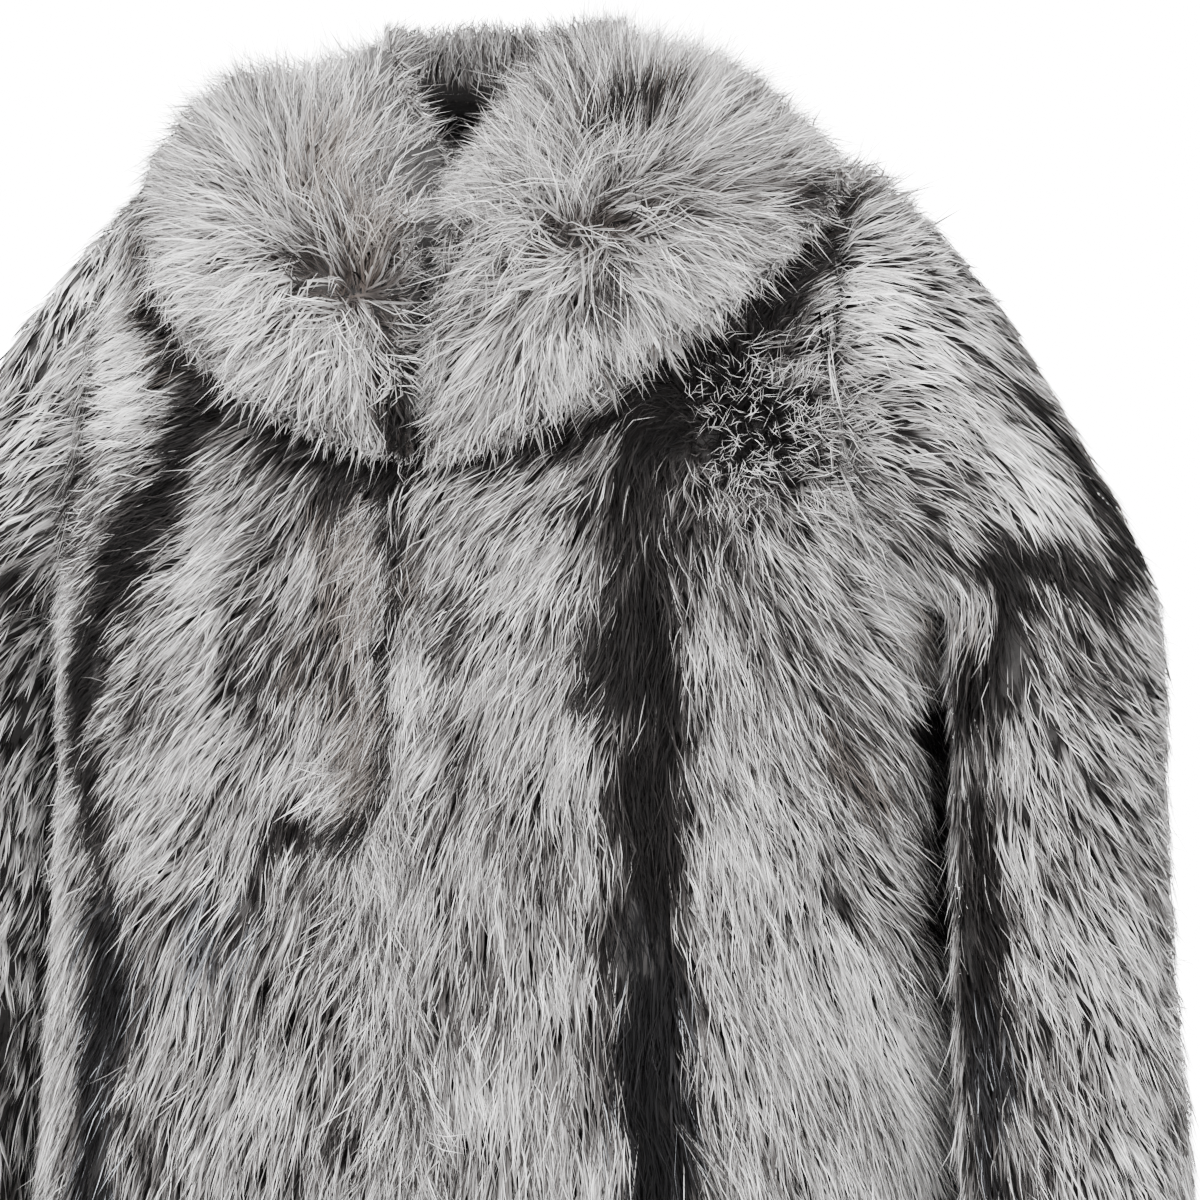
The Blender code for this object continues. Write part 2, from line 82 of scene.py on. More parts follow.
# Seen from the shown side, so many millimetres right of the middle and up: the way the hair points,
# in degrees round from straight down, positive to the right.
Comb = namedtuple("Comb", "across height turn")
TRUNK_COMBS = in_metres(
    Comb,
    # the wearer's right front
    (-176, -141, -68), (-149, -156, -58), (-112, -171, -42), (-77, -181, -15), (-175, -201, -55),
    (-132, -210, -40), (-91, -229, -16), (-66, -238, -5), (-191, -256, -42), (-126, -268, -24),
    (-81, -287, -12), (-173, -305, -26), (-121, -327, -20), (-86, -321, -28), (-191, -361, -22),
    (-106, -375, -14), (-78, -373, 0), (-61, -416, 4), (-147, -417, -14), (-95, -441, -8),
    (-191, -471, -14), (-100, -540, -4), (-180, -560, -8), (-70, -640, 0),
    # the wearer's left front, up to the dark band
    (-27, -178, -35), (6, -171, -42), (40, -156, -45), (-22, -219, -35), (21, -209, -38),
    (45, -237, -14), (69, -171, -4), (68, -237, 0), (-22, -276, -20), (21, -285, -18), (68, -323, 0),
    (-32, -352, -8), (21, -370, -6), (-22, -428, 0), (30, -441, 0), (68, -442, 3), (20, -560, 0),
    (20, -680, 0),
    # and from the band to the side
    (107, -171, 2), (106, -218, 15), (129, -174, 16), (145, -209, 38), (128, -118, 172),
    (104, -132, -125), (98, -150, -60), (152, -166, 48), (160, -146, 84), (148, -124, 130),
    (160, -123, 60), (182, -171, 66), (196, -229, 45), (170, -253, 34), (126, -285, 12),
    (170, -315, 28), (116, -351, 8), (145, -400, 12), (191, -390, 30), (170, -465, 14), (121, -480, 8),
    (110, -620, 4), (190, -600, 10),
    # the sleeves
    (148, -64, 118), (168, -42, 124), (190, -40, 108), (180, -70, 78), (205, -98, 62), (243, -122, 50),
    (240, -166, 48), (270, -190, 30), (296, -209, 30), (227, -248, 0), (259, -247, 28), (293, -271, 48),
    (264, -294, 26), (236, -314, 10), (299, -339, 30), (259, -361, 18), (298, -395, 26),
    (245, -418, 16), (287, -455, 18), (270, -540, 12), (-248, -193, -60), (-247, -235, -45),
    (-248, -289, -30), (-253, -368, -20), (-258, -448, -15), (-270, -550, -10),
)
COLLAR_COMBS = in_metres(
    Comb,
    # the lobe on the wearer's right: up off its knoll, and round and down to its foot
    (-138, -61, -65), (-158, -42, -82), (-152, -15, -105), (-130, 14, -135), (-111, 41, -155),
    (-82, 50, -170), (-61, 51, -178), (-62, -9, 140), (-93, -28, -160), (-41, -12, 130),
    (-58, -45, 178), (-84, -56, -135), (-74, -61, -165), (-60, -66, 180), (-46, -69, 160),
    (-77, -80, -22), (-61, -86, -4), (-44, -88, 30), (-100, -49, -100), (-114, -84, -45),
    (-144, -89, -58), (-81, -95, -18), (-94, -118, -28), (-70, -105, -8), (-70, -133, -5),
    (-49, -109, 30), (-33, -55, 100), (-120, -140, -38),
    # the lobe on the wearer's left: a parting across it, and a fan below
    (-12, -24, -100), (2, -14, -105), (23, 18, -150), (45, 17, -168), (77, 45, 175), (62, 2, -178),
    (86, -11, 150), (111, 35, 145), (133, 5, 125), (139, -17, 105), (125, -43, 85), (150, -27, 100),
    (104, -40, 80), (72, -26, 145), (34, -70, -5), (20, -71, -30), (30, -40, -140), (45, -34, -170),
    (58, -26, 170), (60, -48, 35), (82, -36, 70), (48, -60, 12), (-5, -70, -58), (-18, -96, -42),
    (-22, -128, -25), (25, -97, -5), (47, -83, 27), (79, -71, 42), (106, -62, 58), (133, -63, 72),
    (86, -96, 27), (68, -114, 12), (34, -135, -8), (2, -141, -18),
)
COMB_BLUR = 0.009  # combings closer than this run into each other
COMB_REACH = 0.090  # and none tells further away than this

# Where the hair is tousled: how many millimetres round the place, and by how many degrees.
Tousle = namedtuple("Tousle", "across height reach scatter")
TRUNK_TOUSLES = in_metres(Tousle, (128, -143, 42, 26), (126, -142, 28, 52), (110, -110, 20, 25))
COLLAR_TOUSLES = in_metres(
    Tousle,
    (-37, -8, 16, 28), (-70, -77, 14, 45), (-33, -55, 22, 42), (-60, -45, 20, 26), (-100, -49, 18, 40),
    (-45, -105, 20, 30), (12, -27, 26, 55), (48, -46, 20, 48),
)

# ---------------- markings, and painted shade and shadow

NEUTRAL, BLUISH, BROWN, TIPPED = 0, 1, 2, 3
Band = namedtuple("Band", "silver hold cast places")


def bands(*rows):
    """Bands from rows of two hundredths, places in millimetres, and a cast if it isn't neutral."""
    made = []
    for silver, hold, places, *cast in rows:
        places = [tuple(size / 1000 for size in place) for place in places]
        made.append(Band(silver / 100, hold / 100, *(cast or [NEUTRAL]), places))
    return made


# Bands of dark or silver hair, seen from the shown side, some of them painted shade and shadow: how
# silver (0 is black, 100 is white), how fully the hair takes that, the places they run through with
# their half widths, and their cast.
TRUNK_BANDS = bands(
    # down the wearer's right side
    (3, 96, [(-160, -142, 9), (-178, -178, 10), (-192, -202, 11), (-204, -225, 10), (-219, -273, 10),
        (-228, -313, 9)]),
    (10, 80, [(-228, -313, 9), (-216, -340, 9), (-208, -368, 10), (-209, -407, 11)]),
    (8, 84, [(-207, -407, 13), (-203, -446, 17), (-212, -487, 13), (-216, -800, 12)], BLUISH),
    (16, 55, [(-229, -173, 8), (-236, -203, 8), (-262, -246, 9)]),
    (95, 80, [(-262, -155, 14), (-265, -195, 14)]),
    (88, 75, [(-250, -265, 17), (-252, -340, 20), (-254, -540, 20)]),
    (100, 85, [(-208, -56, 15)]),
    (92, 65, [(-157, -205, 16), (-163, -258, 17)]),
    (88, 60, [(-248, -215, 12), (-246, -250, 12)]),
    (95, 70, [(208, -470, 14), (212, -540, 14)]),
    (80, 50, [(0, -200, 30), (6, -300, 30)]),
    (100, 92, [(-240, -66, 26), (-217, -92, 29), (-204, -128, 23)]),
    # painted shadow beside the collar's lobe, between it and the shoulder
    (4, 96, [(-182, -40, 9), (-184, -92, 10), (-172, -120, 8), (-150, -138, 7)], BROWN),
    (100, 85, [(180, -66, 14), (200, -88, 24), (222, -114, 27)]),
    (92, 70, [(-213, -157, 10)]),
    # the broad band down the wearer's left front
    (20, 90, [(72, -150, 20), (69, -190, 26), (67, -235, 27), (67, -280, 20)]),
    # under the collar's edge: painted shadow along it; below it the dark band runs on, and there is a
    # grizzled patch
    (6, 88, [(-150, -132, 7), (-128, -146, 7), (-82, -163, 7), (-36, -167, 6)]),
    (8, 92, [(142, -70, 12), (158, -47, 11), (174, -34, 8)], BROWN),
    (6, 80, [(-30, -168, 5), (24, -161, 5), (60, -142, 6), (102, -110, 7), (130, -88, 7)]),
    (2, 97, [(80, -98, 19), (77, -124, 18), (74, -158, 16)]),
    (3, 96, [(70, -245, 15), (73, -300, 18), (75, -350, 20), (75, -385, 19), (72, -418, 18)]),
    (20, 75, [(40, -284, 12), (56, -262, 12)]),
    (2, 97, [(72, -418, 18), (73, -465, 18), (79, -505, 19), (84, -800, 19)], BLUISH),
    # painted shadow under the collar's edge
    (2, 97, [(85, -108, 13), (119, -92, 14), (138, -82, 16), (153, -48, 13)]),
    (32, 95, [(118, -120, 30), (128, -150, 38)], TIPPED),
    # its side and armhole
    # dark hair down the crease between the side and the sleeve, with painted shade in it
    (6, 94, [(250, -226, 14), (248, -254, 14), (230, -280, 11), (218, -305, 11)]),
    (10, 86, [(232, -345, 8), (236, -373, 12), (237, -415, 13), (236, -439, 12)]),
    (16, 64, [(236, -445, 10), (238, -475, 7), (239, -514, 6)], BLUISH),
    (20, 50, [(239, -514, 6), (236, -800, 8)], BLUISH),
    (26, 62, [(174, -320, 11), (190, -342, 12)], BROWN),
    (45, 45, [(212, -250, 12), (212, -279, 9)], BROWN),
    # the left sleeve's white patch, and the dark round it
    (98, 92, [(262, -172, 18), (264, -192, 20)]),
    (8, 90, [(272, -140, 6), (288, -163, 7), (303, -188, 9), (318, -222, 12)]),
    (10, 86, [(248, -218, 9), (272, -224, 12), (306, -233, 12)]),
    # painted shadow along the edge of the closing
    (2, 85, [(-56, -171, 4), (-54.5, -230, 4), (-54, -290, 5), (-62, -330, 4), (-70, -356, 5)]),
    # small marks on the wearer's right front
    (36, 60, [(-82, -200, 15), (-80, -240, 14), (-72, -330, 15)], BROWN),
    (46, 50, [(-40, -475, 22), (-36, -530, 22)]),
    (30, 55, [(-96, -208, 11)], BROWN),
    (30, 55, [(-81, -277, 11)], BROWN),
    (22, 65, [(-104, -268, 10), (-106, -282, 11)], BROWN),
    (28, 55, [(-128, -244, 8), (-128, -304, 8)]),
    (28, 60, [(-160, -410, 15), (-140, -420, 14)], BLUISH),
    (5, 92, [(-78, -168, 10), (-62, -176, 12)]),
    # a crease and the hollow at its top: dark roots show there, and painted shade lies under the hair
    # that overhangs them
    (12, 80, [(-76, -343, 5), (-93, -347, 6), (-114, -366, 6), (-123, -381, 6), (-134, -410, 6)]),
    (3, 92, [(-77, -350, 6)]),
    (62, 50, [(-72, -205, 7), (-70, -268, 7)], BROWN),
    (20, 62, [(-125, -155, 13), (-95, -178, 13), (-82, -200, 9)]),
    (20, 60, [(-48, -215, 8), (-48, -238, 7)], BROWN),
    (22, 60, [(-30, -232, 7), (-28, -264, 7)]),
    (30, 45, [(-30, -300, 8), (-26, -330, 6)]),
)
COLLAR_BANDS = bands(
    # the wearer's right: a woolly knoll over a dark parting
    (84, 60, [(-160, -50, 34), (-140, 0, 34), (-95, 30, 34)]),
    (56, 85, [(-62, -30, 18), (-58, -56, 20)], BROWN),
    (64, 60, [(-84, -6, 20), (-72, 20, 18)], BROWN),
    (8, 88, [(-76, -71, 5), (-62, -75, 7), (-46, -79, 6)], BROWN),
    (14, 70, [(-124, -60, 4), (-108, -64, 4)]),
    (95, 80, [(-152, -90, 24), (-124, -114, 22), (-70, -132, 20)]),
    (45, 50, [(-35, -55, 12), (-30, -95, 12)]),
    # painted shade in the gap between the lobes at their feet
    (6, 90, [(-44, -112, 4), (-46, -135, 6), (-48, -165, 8)]),
    # the wearer's left: a parting, a dark streak on top, a tuft and flecks
    (14, 85, [(26, -59, 5), (45, -47, 6), (60, -34, 5), (84, -24, 3)]),
    (10, 82, [(46, 14, 4), (60, 24, 7), (80, 32, 8), (96, 30, 6)], BROWN),
    (92, 60, [(62, 0, 13), (75, -8, 12)]),
    (20, 65, [(100, -41, 3), (108, -39, 3)]),
    (25, 55, [(122, -30, 3)]),
    (8, 80, [(154, -33, 5), (160, -28, 5)]),
    (90, 65, [(0, -145, 14), (30, -135, 16), (60, -115, 14), (100, -85, 12)]),
    (42, 50, [(45, -72, 8), (66, -94, 9)]),
)
# On the sides that are looked at less, dark stripes run straight down the pelts.
Stripe = namedtuple("Stripe", "bearing half_width silver cast")
BACK_STRIPES = [
    Stripe(112, 0.017, 0.18, NEUTRAL),
    Stripe(146, 0.019, 0.16, BLUISH),
    Stripe(180, 0.021, 0.14, NEUTRAL),
    Stripe(214, 0.019, 0.16, BLUISH),
    Stripe(248, 0.017, 0.18, NEUTRAL),
]
STRIPE_HOLD = 0.82
BACK_RADIUS = 0.19
BAND_EDGE = 2.4  # how suddenly bands and stripes end
BAND_WANDER = 0.005
CAST_FROM = 0.4  # the weight of a band from which hair has its cast
SILVER_NOISE = 0.10

# ---------------- the fur of each piece

# The hair of a node's shown side, of the rest of it, or of its whole throat, between two coordinates
# along an axis, as strands of a few hairs each.
Fur = namedtuple(
    "Fur",
    "name node side axis low high strands hairs steps "
    "length radius gather width silver sunk ripens slot",
)
X, Z = 0, 2
SHOWN, REST, THROAT = "shown", "rest", "throat"
FURS = [
    Fur("collar_right_fur", "collar", SHOWN, X, -1, 0.04,
        6500, 4, 3, 0.050, 0.0028, 0.56, 0.00052, 0.69, 0.0075, 1.0, "collar_fur"),
    Fur("collar_left_fur", "collar", SHOWN, X, 0.04, 1,
        7100, 4, 3, 0.050, 0.0028, 0.56, 0.00052, 0.68, 0.0075, 1.0, "collar_fur"),
    Fur("collar_back_fur", "collar", REST, X, -1, 1,
        3000, 4, 2, 0.050, 0.0034, 0.40, 0.00105, 0.62, 0.0060, 0.8, "collar_fur"),
    Fur("collar_throat_fur", "collar", THROAT, X, -1, 1,
        3500, 3, 2, 0.030, 0.0030, 0.30, 0.00080, 0.64, 0.0030, 1.0, "collar_fur"),
    Fur("front_left_upper_fur", "front_left", SHOWN, Z, -0.36, 1,
        7500, 4, 3, 0.036, 0.0024, 0.28, 0.00050, 0.64, 0.0022, 1.0, "body_fur"),
    Fur("front_left_lower_fur", "front_left", SHOWN, Z, -1, -0.36,
        3800, 4, 3, 0.046, 0.0024, 0.28, 0.00056, 0.65, 0.0020, 0.8, "body_fur"),
    Fur("front_left_hem_fur", "front_left", REST, Z, -1, 1,
        3300, 4, 1, 0.048, 0.0034, 0.30, 0.00190, 0.62, 0.0026, 0.7, "body_fur"),
    Fur("front_right_upper_fur", "front_right", SHOWN, Z, -0.36, 1,
        5500, 4, 3, 0.036, 0.0024, 0.28, 0.00052, 0.60, 0.0022, 1.0, "body_fur"),
    Fur("front_right_lower_fur", "front_right", SHOWN, Z, -1, -0.36,
        2500, 4, 3, 0.046, 0.0024, 0.28, 0.00058, 0.63, 0.0020, 0.8, "body_fur"),
    Fur("front_right_hem_fur", "front_right", REST, Z, -1, 1,
        3300, 4, 1, 0.048, 0.0034, 0.30, 0.00190, 0.60, 0.0026, 0.7, "body_fur"),
    Fur("sleeve_left_fur", "sleeve_left", SHOWN, Z, -1, 1,
        5200, 4, 3, 0.038, 0.0024, 0.28, 0.00052, 0.67, 0.0024, 1.0, "sleeve_fur"),
    Fur("sleeve_left_under_fur", "sleeve_left", REST, Z, -1, 1,
        3500, 4, 1, 0.044, 0.0034, 0.30, 0.00170, 0.62, 0.0026, 0.7, "sleeve_fur"),
    Fur("sleeve_right_fur", "sleeve_right", SHOWN, Z, -1, 1,
        2200, 4, 3, 0.038, 0.0024, 0.28, 0.00070, 0.67, 0.0026, 1.0, "sleeve_fur"),
    Fur("sleeve_right_under_fur", "sleeve_right", REST, Z, -1, 1,
        4000, 4, 1, 0.044, 0.0034, 0.30, 0.00170, 0.62, 0.0026, 0.7, "sleeve_fur"),
    Fur("back_fur", "back", REST, Z, -1, 1,
        13500, 4, 1, 0.050, 0.0034, 0.30, 0.00175, 0.62, 0.0026, 0.7, "body_fur"),
]
PELT_THICKNESS = 0.011
COLLAR_CORE_SHARE = 0.46  # of the collar's loft, under its hair
EDGE_REACH = 0.012  # strands nearer than this to a piece's edge are denser and cross it
EDGE_DENSITY = 2.6  # so many times as many are added right at the edge
EDGE_STRAY = math.radians(26)
# For each radian that it strays, tousled hair is this much denser, and on the trunk this much
# shorter, thinner and curlier.
TOUSLE_DENSITY = 1.1
TOUSLE_LENGTH = 0.52
TOUSLE_THIN = 0.36
TOUSLE_CURL = 0.3
TOUSLE_STIFF = 0.92  # the share in which tousled hair on the trunk keeps on the way it starts

# ---------------- settings


class CoatFurSettings(bpy.types.PropertyGroup):
    """How the fur is grown on every piece."""

    length_scale: bpy.props.FloatProperty(
        name="Hair length", description="Scales every hair's length", default=1.0, min=0.5, max=1.5
    )
    width_scale: bpy.props.FloatProperty(
        name="Hair width", description="Scales every hair's width", default=1.0, min=0.3, max=3.0
    )
    swing_scatter: bpy.props.FloatProperty(
        name="Swing scatter",
        description="How far strands stray from the way their neighbours fall",
        default=math.radians(8),
        subtype="ANGLE",
    )
    sunk_scale: bpy.props.FloatProperty(
        name="Sunk strands",
        description="Scales how far strands lie below the top of the fur",
        default=1.0,
        min=0,
    )
    flyaway: bpy.props.FloatProperty(
        name="Flyaway height",
        description="How far loose hairs stand off the lying fur",
        default=0.008,
        unit="LENGTH",
    )
    loose_share: bpy.props.FloatProperty(
        name="Loose hairs",
        description="Share of hairs that leave their strand",
        default=0.10,
        min=0,
        max=1,
    )
    seed: bpy.props.IntProperty(name="Seed", description="Start of the random draws", default=7)


def colour_property(name, description, default):
    return bpy.props.FloatVectorProperty(
        name=name, description=description, subtype="COLOR", default=default
    )


class CoatColourSettings(bpy.types.PropertyGroup):
    """Colours of the hair, as it is seen by daylight."""

    black: colour_property("Black hair", "Darkest guard hair", (0.003, 0.0027, 0.0027))
    charcoal: colour_property("Charcoal hair", "Dark guard hair", (0.014, 0.0125, 0.0122))
    grey: colour_property("Grey hair", "Middle grey hair", (0.085, 0.0795, 0.0775))
    silver: colour_property("Silver hair", "Silver guard hair", (0.36, 0.351, 0.346))
    white: colour_property("White hair", "Lightest guard hair", (0.92, 0.91, 0.90))
    body_root: colour_property("Body roots", "Hair at its root on the body", (0.008, 0.007, 0.0068))
    collar_root: colour_property("Collar roots", "Wool deep in the collar", (0.062, 0.054, 0.051))
    pelt: colour_property("Pelt", "Skin under the hair", (0.010, 0.0088, 0.0085))


# ---------------- the solids' faces


Faces = namedtuple("Faces", "points normals triangles tree")


def merged_mesh(name):
    """Points and triangles of a node, its doubles merged."""
    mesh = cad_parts[name].data
    mesh.calc_loop_triangles()
    points = np.empty(len(mesh.vertices) * 3, np.float32)
    mesh.vertices.foreach_get("co", points)
    triangles = np.empty(len(mesh.loop_triangles) * 3, np.int32)
    mesh.loop_triangles.foreach_get("vertices", triangles)
    points = points.reshape(-1, 3).astype(float)
    _, first, merged = np.unique(
        np.round(points * 1e5).astype(np.int64), axis=0, return_index=True, return_inverse=True
    )
    triangles = merged.reshape(-1)[triangles].reshape(-1, 3)
    a, b, c = triangles.T
    return points[first], triangles[(a != b) & (b != c) & (c != a)]


def unit(vectors):
    return vectors / np.maximum(np.linalg.norm(vectors, axis=-1, keepdims=True), 1e-12)


def face_crosses(points, triangles):
    a, b, c = (points[triangles[:, i]] for i in range(3))
    return np.cross(b - a, c - a)


def tree_of(points, triangles):
    return BVHTree.FromPolygons(points.tolist(), triangles.tolist())


def meets(tree, places, ways, start, reach):
    """Whether a line from just off each place meets these faces within this reach."""
    return np.array([
        tree.ray_cast(Vector(place) + Vector(way) * start, Vector(way), reach)[0] is not None
        for place, way in zip(places.tolist(), ways.tolist())
    ])


def faces_of(points, triangles):
    """Those triangles with smooth normals at their points, and a tree to find them by."""
    crosses = face_crosses(points, triangles)
    normals = np.zeros_like(points)
    for corner in range(3):
        np.add.at(normals, triangles[:, corner], crosses)
    return Faces(points, unit(normals), triangles, tree_of(points, triangles))


def border_places(points, triangles):
    """Places along the open border of these triangles."""
    edges = np.concatenate([triangles[:, pair] for pair in ([0, 1], [1, 2], [2, 0])])
    once, count = np.unique(np.sort(edges, axis=1), axis=0, return_counts=True)
    once = once[count == 1]
    return np.concatenate([points[once[:, 0]], points[once].mean(axis=1)])


# The line that a left sleeve wraps round.
ARM_LINE = np.array([
    (0.190, 0.000, -0.135), (0.239, 0.000, -0.143), (0.262, 0.000, -0.179),
    (0.276, 0.000, -0.202), (0.289, 0.000, -0.227), (0.295, 0.000, -0.290),
    (0.299, -0.005, -0.385), (0.306, -0.017, -0.500), (0.320, -0.034, -0.640),
])
TRUNK_TOP = -0.12  # where the upright line that the trunk wraps round ends


def feet_on(line, places):
    """The nearest point to each place on each stretch of a line of points, and how far away it is.

    A point's numbers beyond those of a place, such as a width, go along with it.
    """
    starts, alongs = line[:-1], np.diff(line, axis=0)
    feet = []
    for start, along in zip(starts, alongs):
        flat = along[: places.shape[1]]
        share = (places - start[: len(flat)]) @ flat / max(flat @ flat, 1e-12)
        feet.append(start + np.clip(share, 0, 1)[:, None] * along)
    feet = np.array(feet)
    return feet, np.linalg.norm(places - feet[..., : places.shape[1]], axis=2)


def outwards(node, places):
    """The way out from what this node wraps round."""
    if node in SLEEVE_NODES:
        side = 1.0 if node == "sleeve_left" else -1.0
        feet, away = feet_on(ARM_LINE * [side, 1, 1], places)
        return places - feet[away.argmin(axis=0), np.arange(len(places))]
    axis = places * [0, 0, 1]
    return places - np.minimum(axis, TRUNK_TOP * np.array([0, 0, 1]))


FUR_SIDE = 0.25  # how squarely a face of the wall is turned out or in; what is between is its cut edge
COLLAR_THROAT = 0.0606  # the collar's throat is as near to the neck's middle as this
COLLAR_SEAT = 0.0055  # and its underside as near to the trunk as this
THROAT_DOWN_TO = -0.09


def collar_sides(points, triangles, trunk_tree):
    """Whether each of the collar's triangles is on its fur side, and whether it faces the throat."""
    seated = np.array([trunk_tree.find_nearest(p, COLLAR_SEAT)[0] is not None for p in points.tolist()])
    throat = np.hypot(points[:, 0], points[:, 1]) < COLLAR_THROAT
    under = (seated | throat)[triangles].all(axis=1)
    high = points[triangles].mean(axis=1)[:, 2] > THROAT_DOWN_TO
    return ~under, under & ~seated[triangles].any(axis=1) & high


class Coat:
    """The coat's faces, worked out once: what is fur side, and what is skin side, on each node."""

    def __init__(self):
        self.meshes = {name: merged_mesh(name) for name in NODES}
        self.trees = {name: tree_of(*mesh) for name, mesh in self.meshes.items()}
        trunk = self.joined([self.meshes[name] for name in BODY_NODES + SLEEVE_NODES])
        trunk_tree = tree_of(*trunk)
        self.outer, self.skin, self.borders = {}, {}, {}
        for name, (points, triangles) in self.meshes.items():
            if name == "collar":
                fur_side, inwards = collar_sides(points, triangles, trunk_tree)
                skin_side = ~fur_side
                self.throat = faces_of(points, triangles[inwards])
            else:
                normals = unit(face_crosses(points, triangles))
                centres = points[triangles].mean(axis=1)
                turned = np.sum(normals * unit(outwards(name, centres)), axis=1)
                fur_side, skin_side = turned > FUR_SIDE, turned < -FUR_SIDE
            self.outer[name] = faces_of(points, triangles[fur_side])
            self.skin[name] = faces_of(points, triangles[skin_side])
            self.borders[name] = border_places(points, triangles[fur_side])
        outer = [self.outer[name] for name in BODY_NODES + SLEEVE_NODES]
        self.trunk = faces_of(*self.joined([(faces.points, faces.triangles) for faces in outer]))

    @staticmethod
    def joined(meshes):
        starts = np.cumsum([0] + [len(points) for points, _ in meshes])
        return (
            np.concatenate([points for points, _ in meshes]),
            np.concatenate([triangles + start for (_, triangles), start in zip(meshes, starts)]),
        )


def nearest_on(faces, places):
    """Nearest points of these faces, and the smooth normals there."""
    found = [faces.tree.find_nearest(place) for place in places.tolist()]
    spots = np.array([tuple(hit[0]) for hit in found])
    corners = faces.triangles[[hit[2] for hit in found]]
    return spots, normals_at(faces, corners, spots)


def normals_at(faces, corners, spots):
    a, b, c = (faces.points[corners[:, i]] for i in range(3))
    whole = face_crosses(faces.points, corners)
    size = np.maximum(np.sum(whole * whole, axis=1), 1e-18)
    share_b = np.sum(np.cross(spots - a, c - a) * whole, axis=1) / size
    share_c = np.sum(np.cross(b - a, spots - a) * whole, axis=1) / size
    shares = np.clip(np.stack([1 - share_b - share_c, share_b, share_c], 1), 0, 1)
    return unit((faces.normals[corners] * shares[:, :, None]).sum(axis=1))


# ---------------- fields over the coat

NOISE_WAVES = 7
NOISE_PERIOD = 2.2  # the waves' mean length, as a share of the distance that is asked for
NOISE_SPREAD = (0.6, 1.5)
NOISE_PEAK = 3.2  # what that many waves seldom pass together


def soft_noise(places, scale, start):
    """A smooth value near -1 to 1 that changes over about this distance."""
    draw = np.random.default_rng(start)
    total = np.zeros(len(places))
    for _ in range(NOISE_WAVES):
        way = draw.normal(size=3)
        way *= 2 * math.pi / (scale * NOISE_PERIOD) / np.linalg.norm(way) * draw.uniform(*NOISE_SPREAD)
        total += np.sin(places @ way + draw.uniform(0, 2 * math.pi))
    return total / NOISE_PEAK


def as_shown(places):
    """Metres right and up, as seen from the shown side."""
    return np.stack([places @ SHOWN_RIGHT, places[:, 2]], 1)


def smooth(value, low, high):
    share = np.clip((value - low) / (high - low), 0, 1)
    return share * share * (3 - 2 * share)


def seen_share(normals):
    """How far each place is on the shown side, from 0 to 1."""
    return smooth(normals @ SHOWN_WAY, -0.1, 0.1)


STANDING = 0.3  # how upright the hair is where opposite combings meet
THROAT_SLANT = 0.3  # how far outwards the throat's hair lies on its way up
COLLAR_SPREAD, COLLAR_DROOP = 0.75, 0.9  # how far out and down uncombed hair lies on the collar
SQUARE_ENOUGH = 0.22  # how squarely a place has to face the shown way for combings to tell in full


def along_surface(ways, normals):
    return unit(ways - normals * np.sum(ways * normals, axis=1, keepdims=True))


def fall_ways(fur, places, normals):
    """The way the hair is combed at each place, along the surface, shorter where it stands up."""
    down = np.tile([0.0, 0.0, -1.0], (len(places), 1))
    if fur.side == THROAT:
        return along_surface(unit(places * [1, 1, 0]) * THROAT_SLANT - down, normals)
    if fur.node == "collar":
        combs = COLLAR_COMBS
        plain = COLLAR_SPREAD * unit(places * [1, 1, 0]) + COLLAR_DROOP * down
    else:
        combs = TRUNK_COMBS
        plain = down
    plain = along_surface(plain, normals)
    spots = as_shown(places)
    total = np.zeros((len(places), 2))
    weights = np.zeros((len(places), 1))
    nearest = np.full(len(places), np.inf)
    for comb in combs:
        away = np.linalg.norm(spots - [comb.across, comb.height], axis=1)
        weight = (away[:, None] ** 2 + COMB_BLUR**2) ** -2
        turn = math.radians(comb.turn)
        total += weight * [math.sin(turn), -math.cos(turn)]
        weights += weight
        nearest = np.minimum(nearest, away)
    lying = smooth(np.linalg.norm(total / weights, axis=1, keepdims=True), 0.0, 0.75)
    seen = unit(total)
    flat = seen[:, :1] * SHOWN_RIGHT + seen[:, 1:] * SHOWN_UP
    faced = normals @ SHOWN_WAY
    depth = -np.sum(flat * normals, axis=1) / np.maximum(faced, SQUARE_ENOUGH)
    combed = along_surface(flat + depth[:, None] * SHOWN_WAY, normals)
    near = 1 - smooth(nearest, COMB_REACH * 0.5, COMB_REACH)
    share = (smooth(faced, -0.02, SQUARE_ENOUGH) * near)[:, None]
    return unit(share * combed + (1 - share) * plain) * (1 - share * (1 - lying) * STANDING)


def tousle_at(fur, places, normals):
    """How far tousled strands stray at each place, in radians."""
    stray = np.zeros(len(places))
    spots = as_shown(places)
    for tousle in COLLAR_TOUSLES if fur.node == "collar" else TRUNK_TOUSLES:
        away = np.linalg.norm(spots - [tousle.across, tousle.height], axis=1) / tousle.reach
        stray += math.radians(tousle.scatter) * np.exp(-(away**4))
    return stray * seen_share(normals)


def away_from_band(spots, band):
    """How far each spot is from a band's middle line, in its own half widths."""
    feet, away = feet_on(np.array(band.places if len(band.places) > 1 else band.places * 2), spots)
    return (away / feet[..., 2]).min(axis=0)


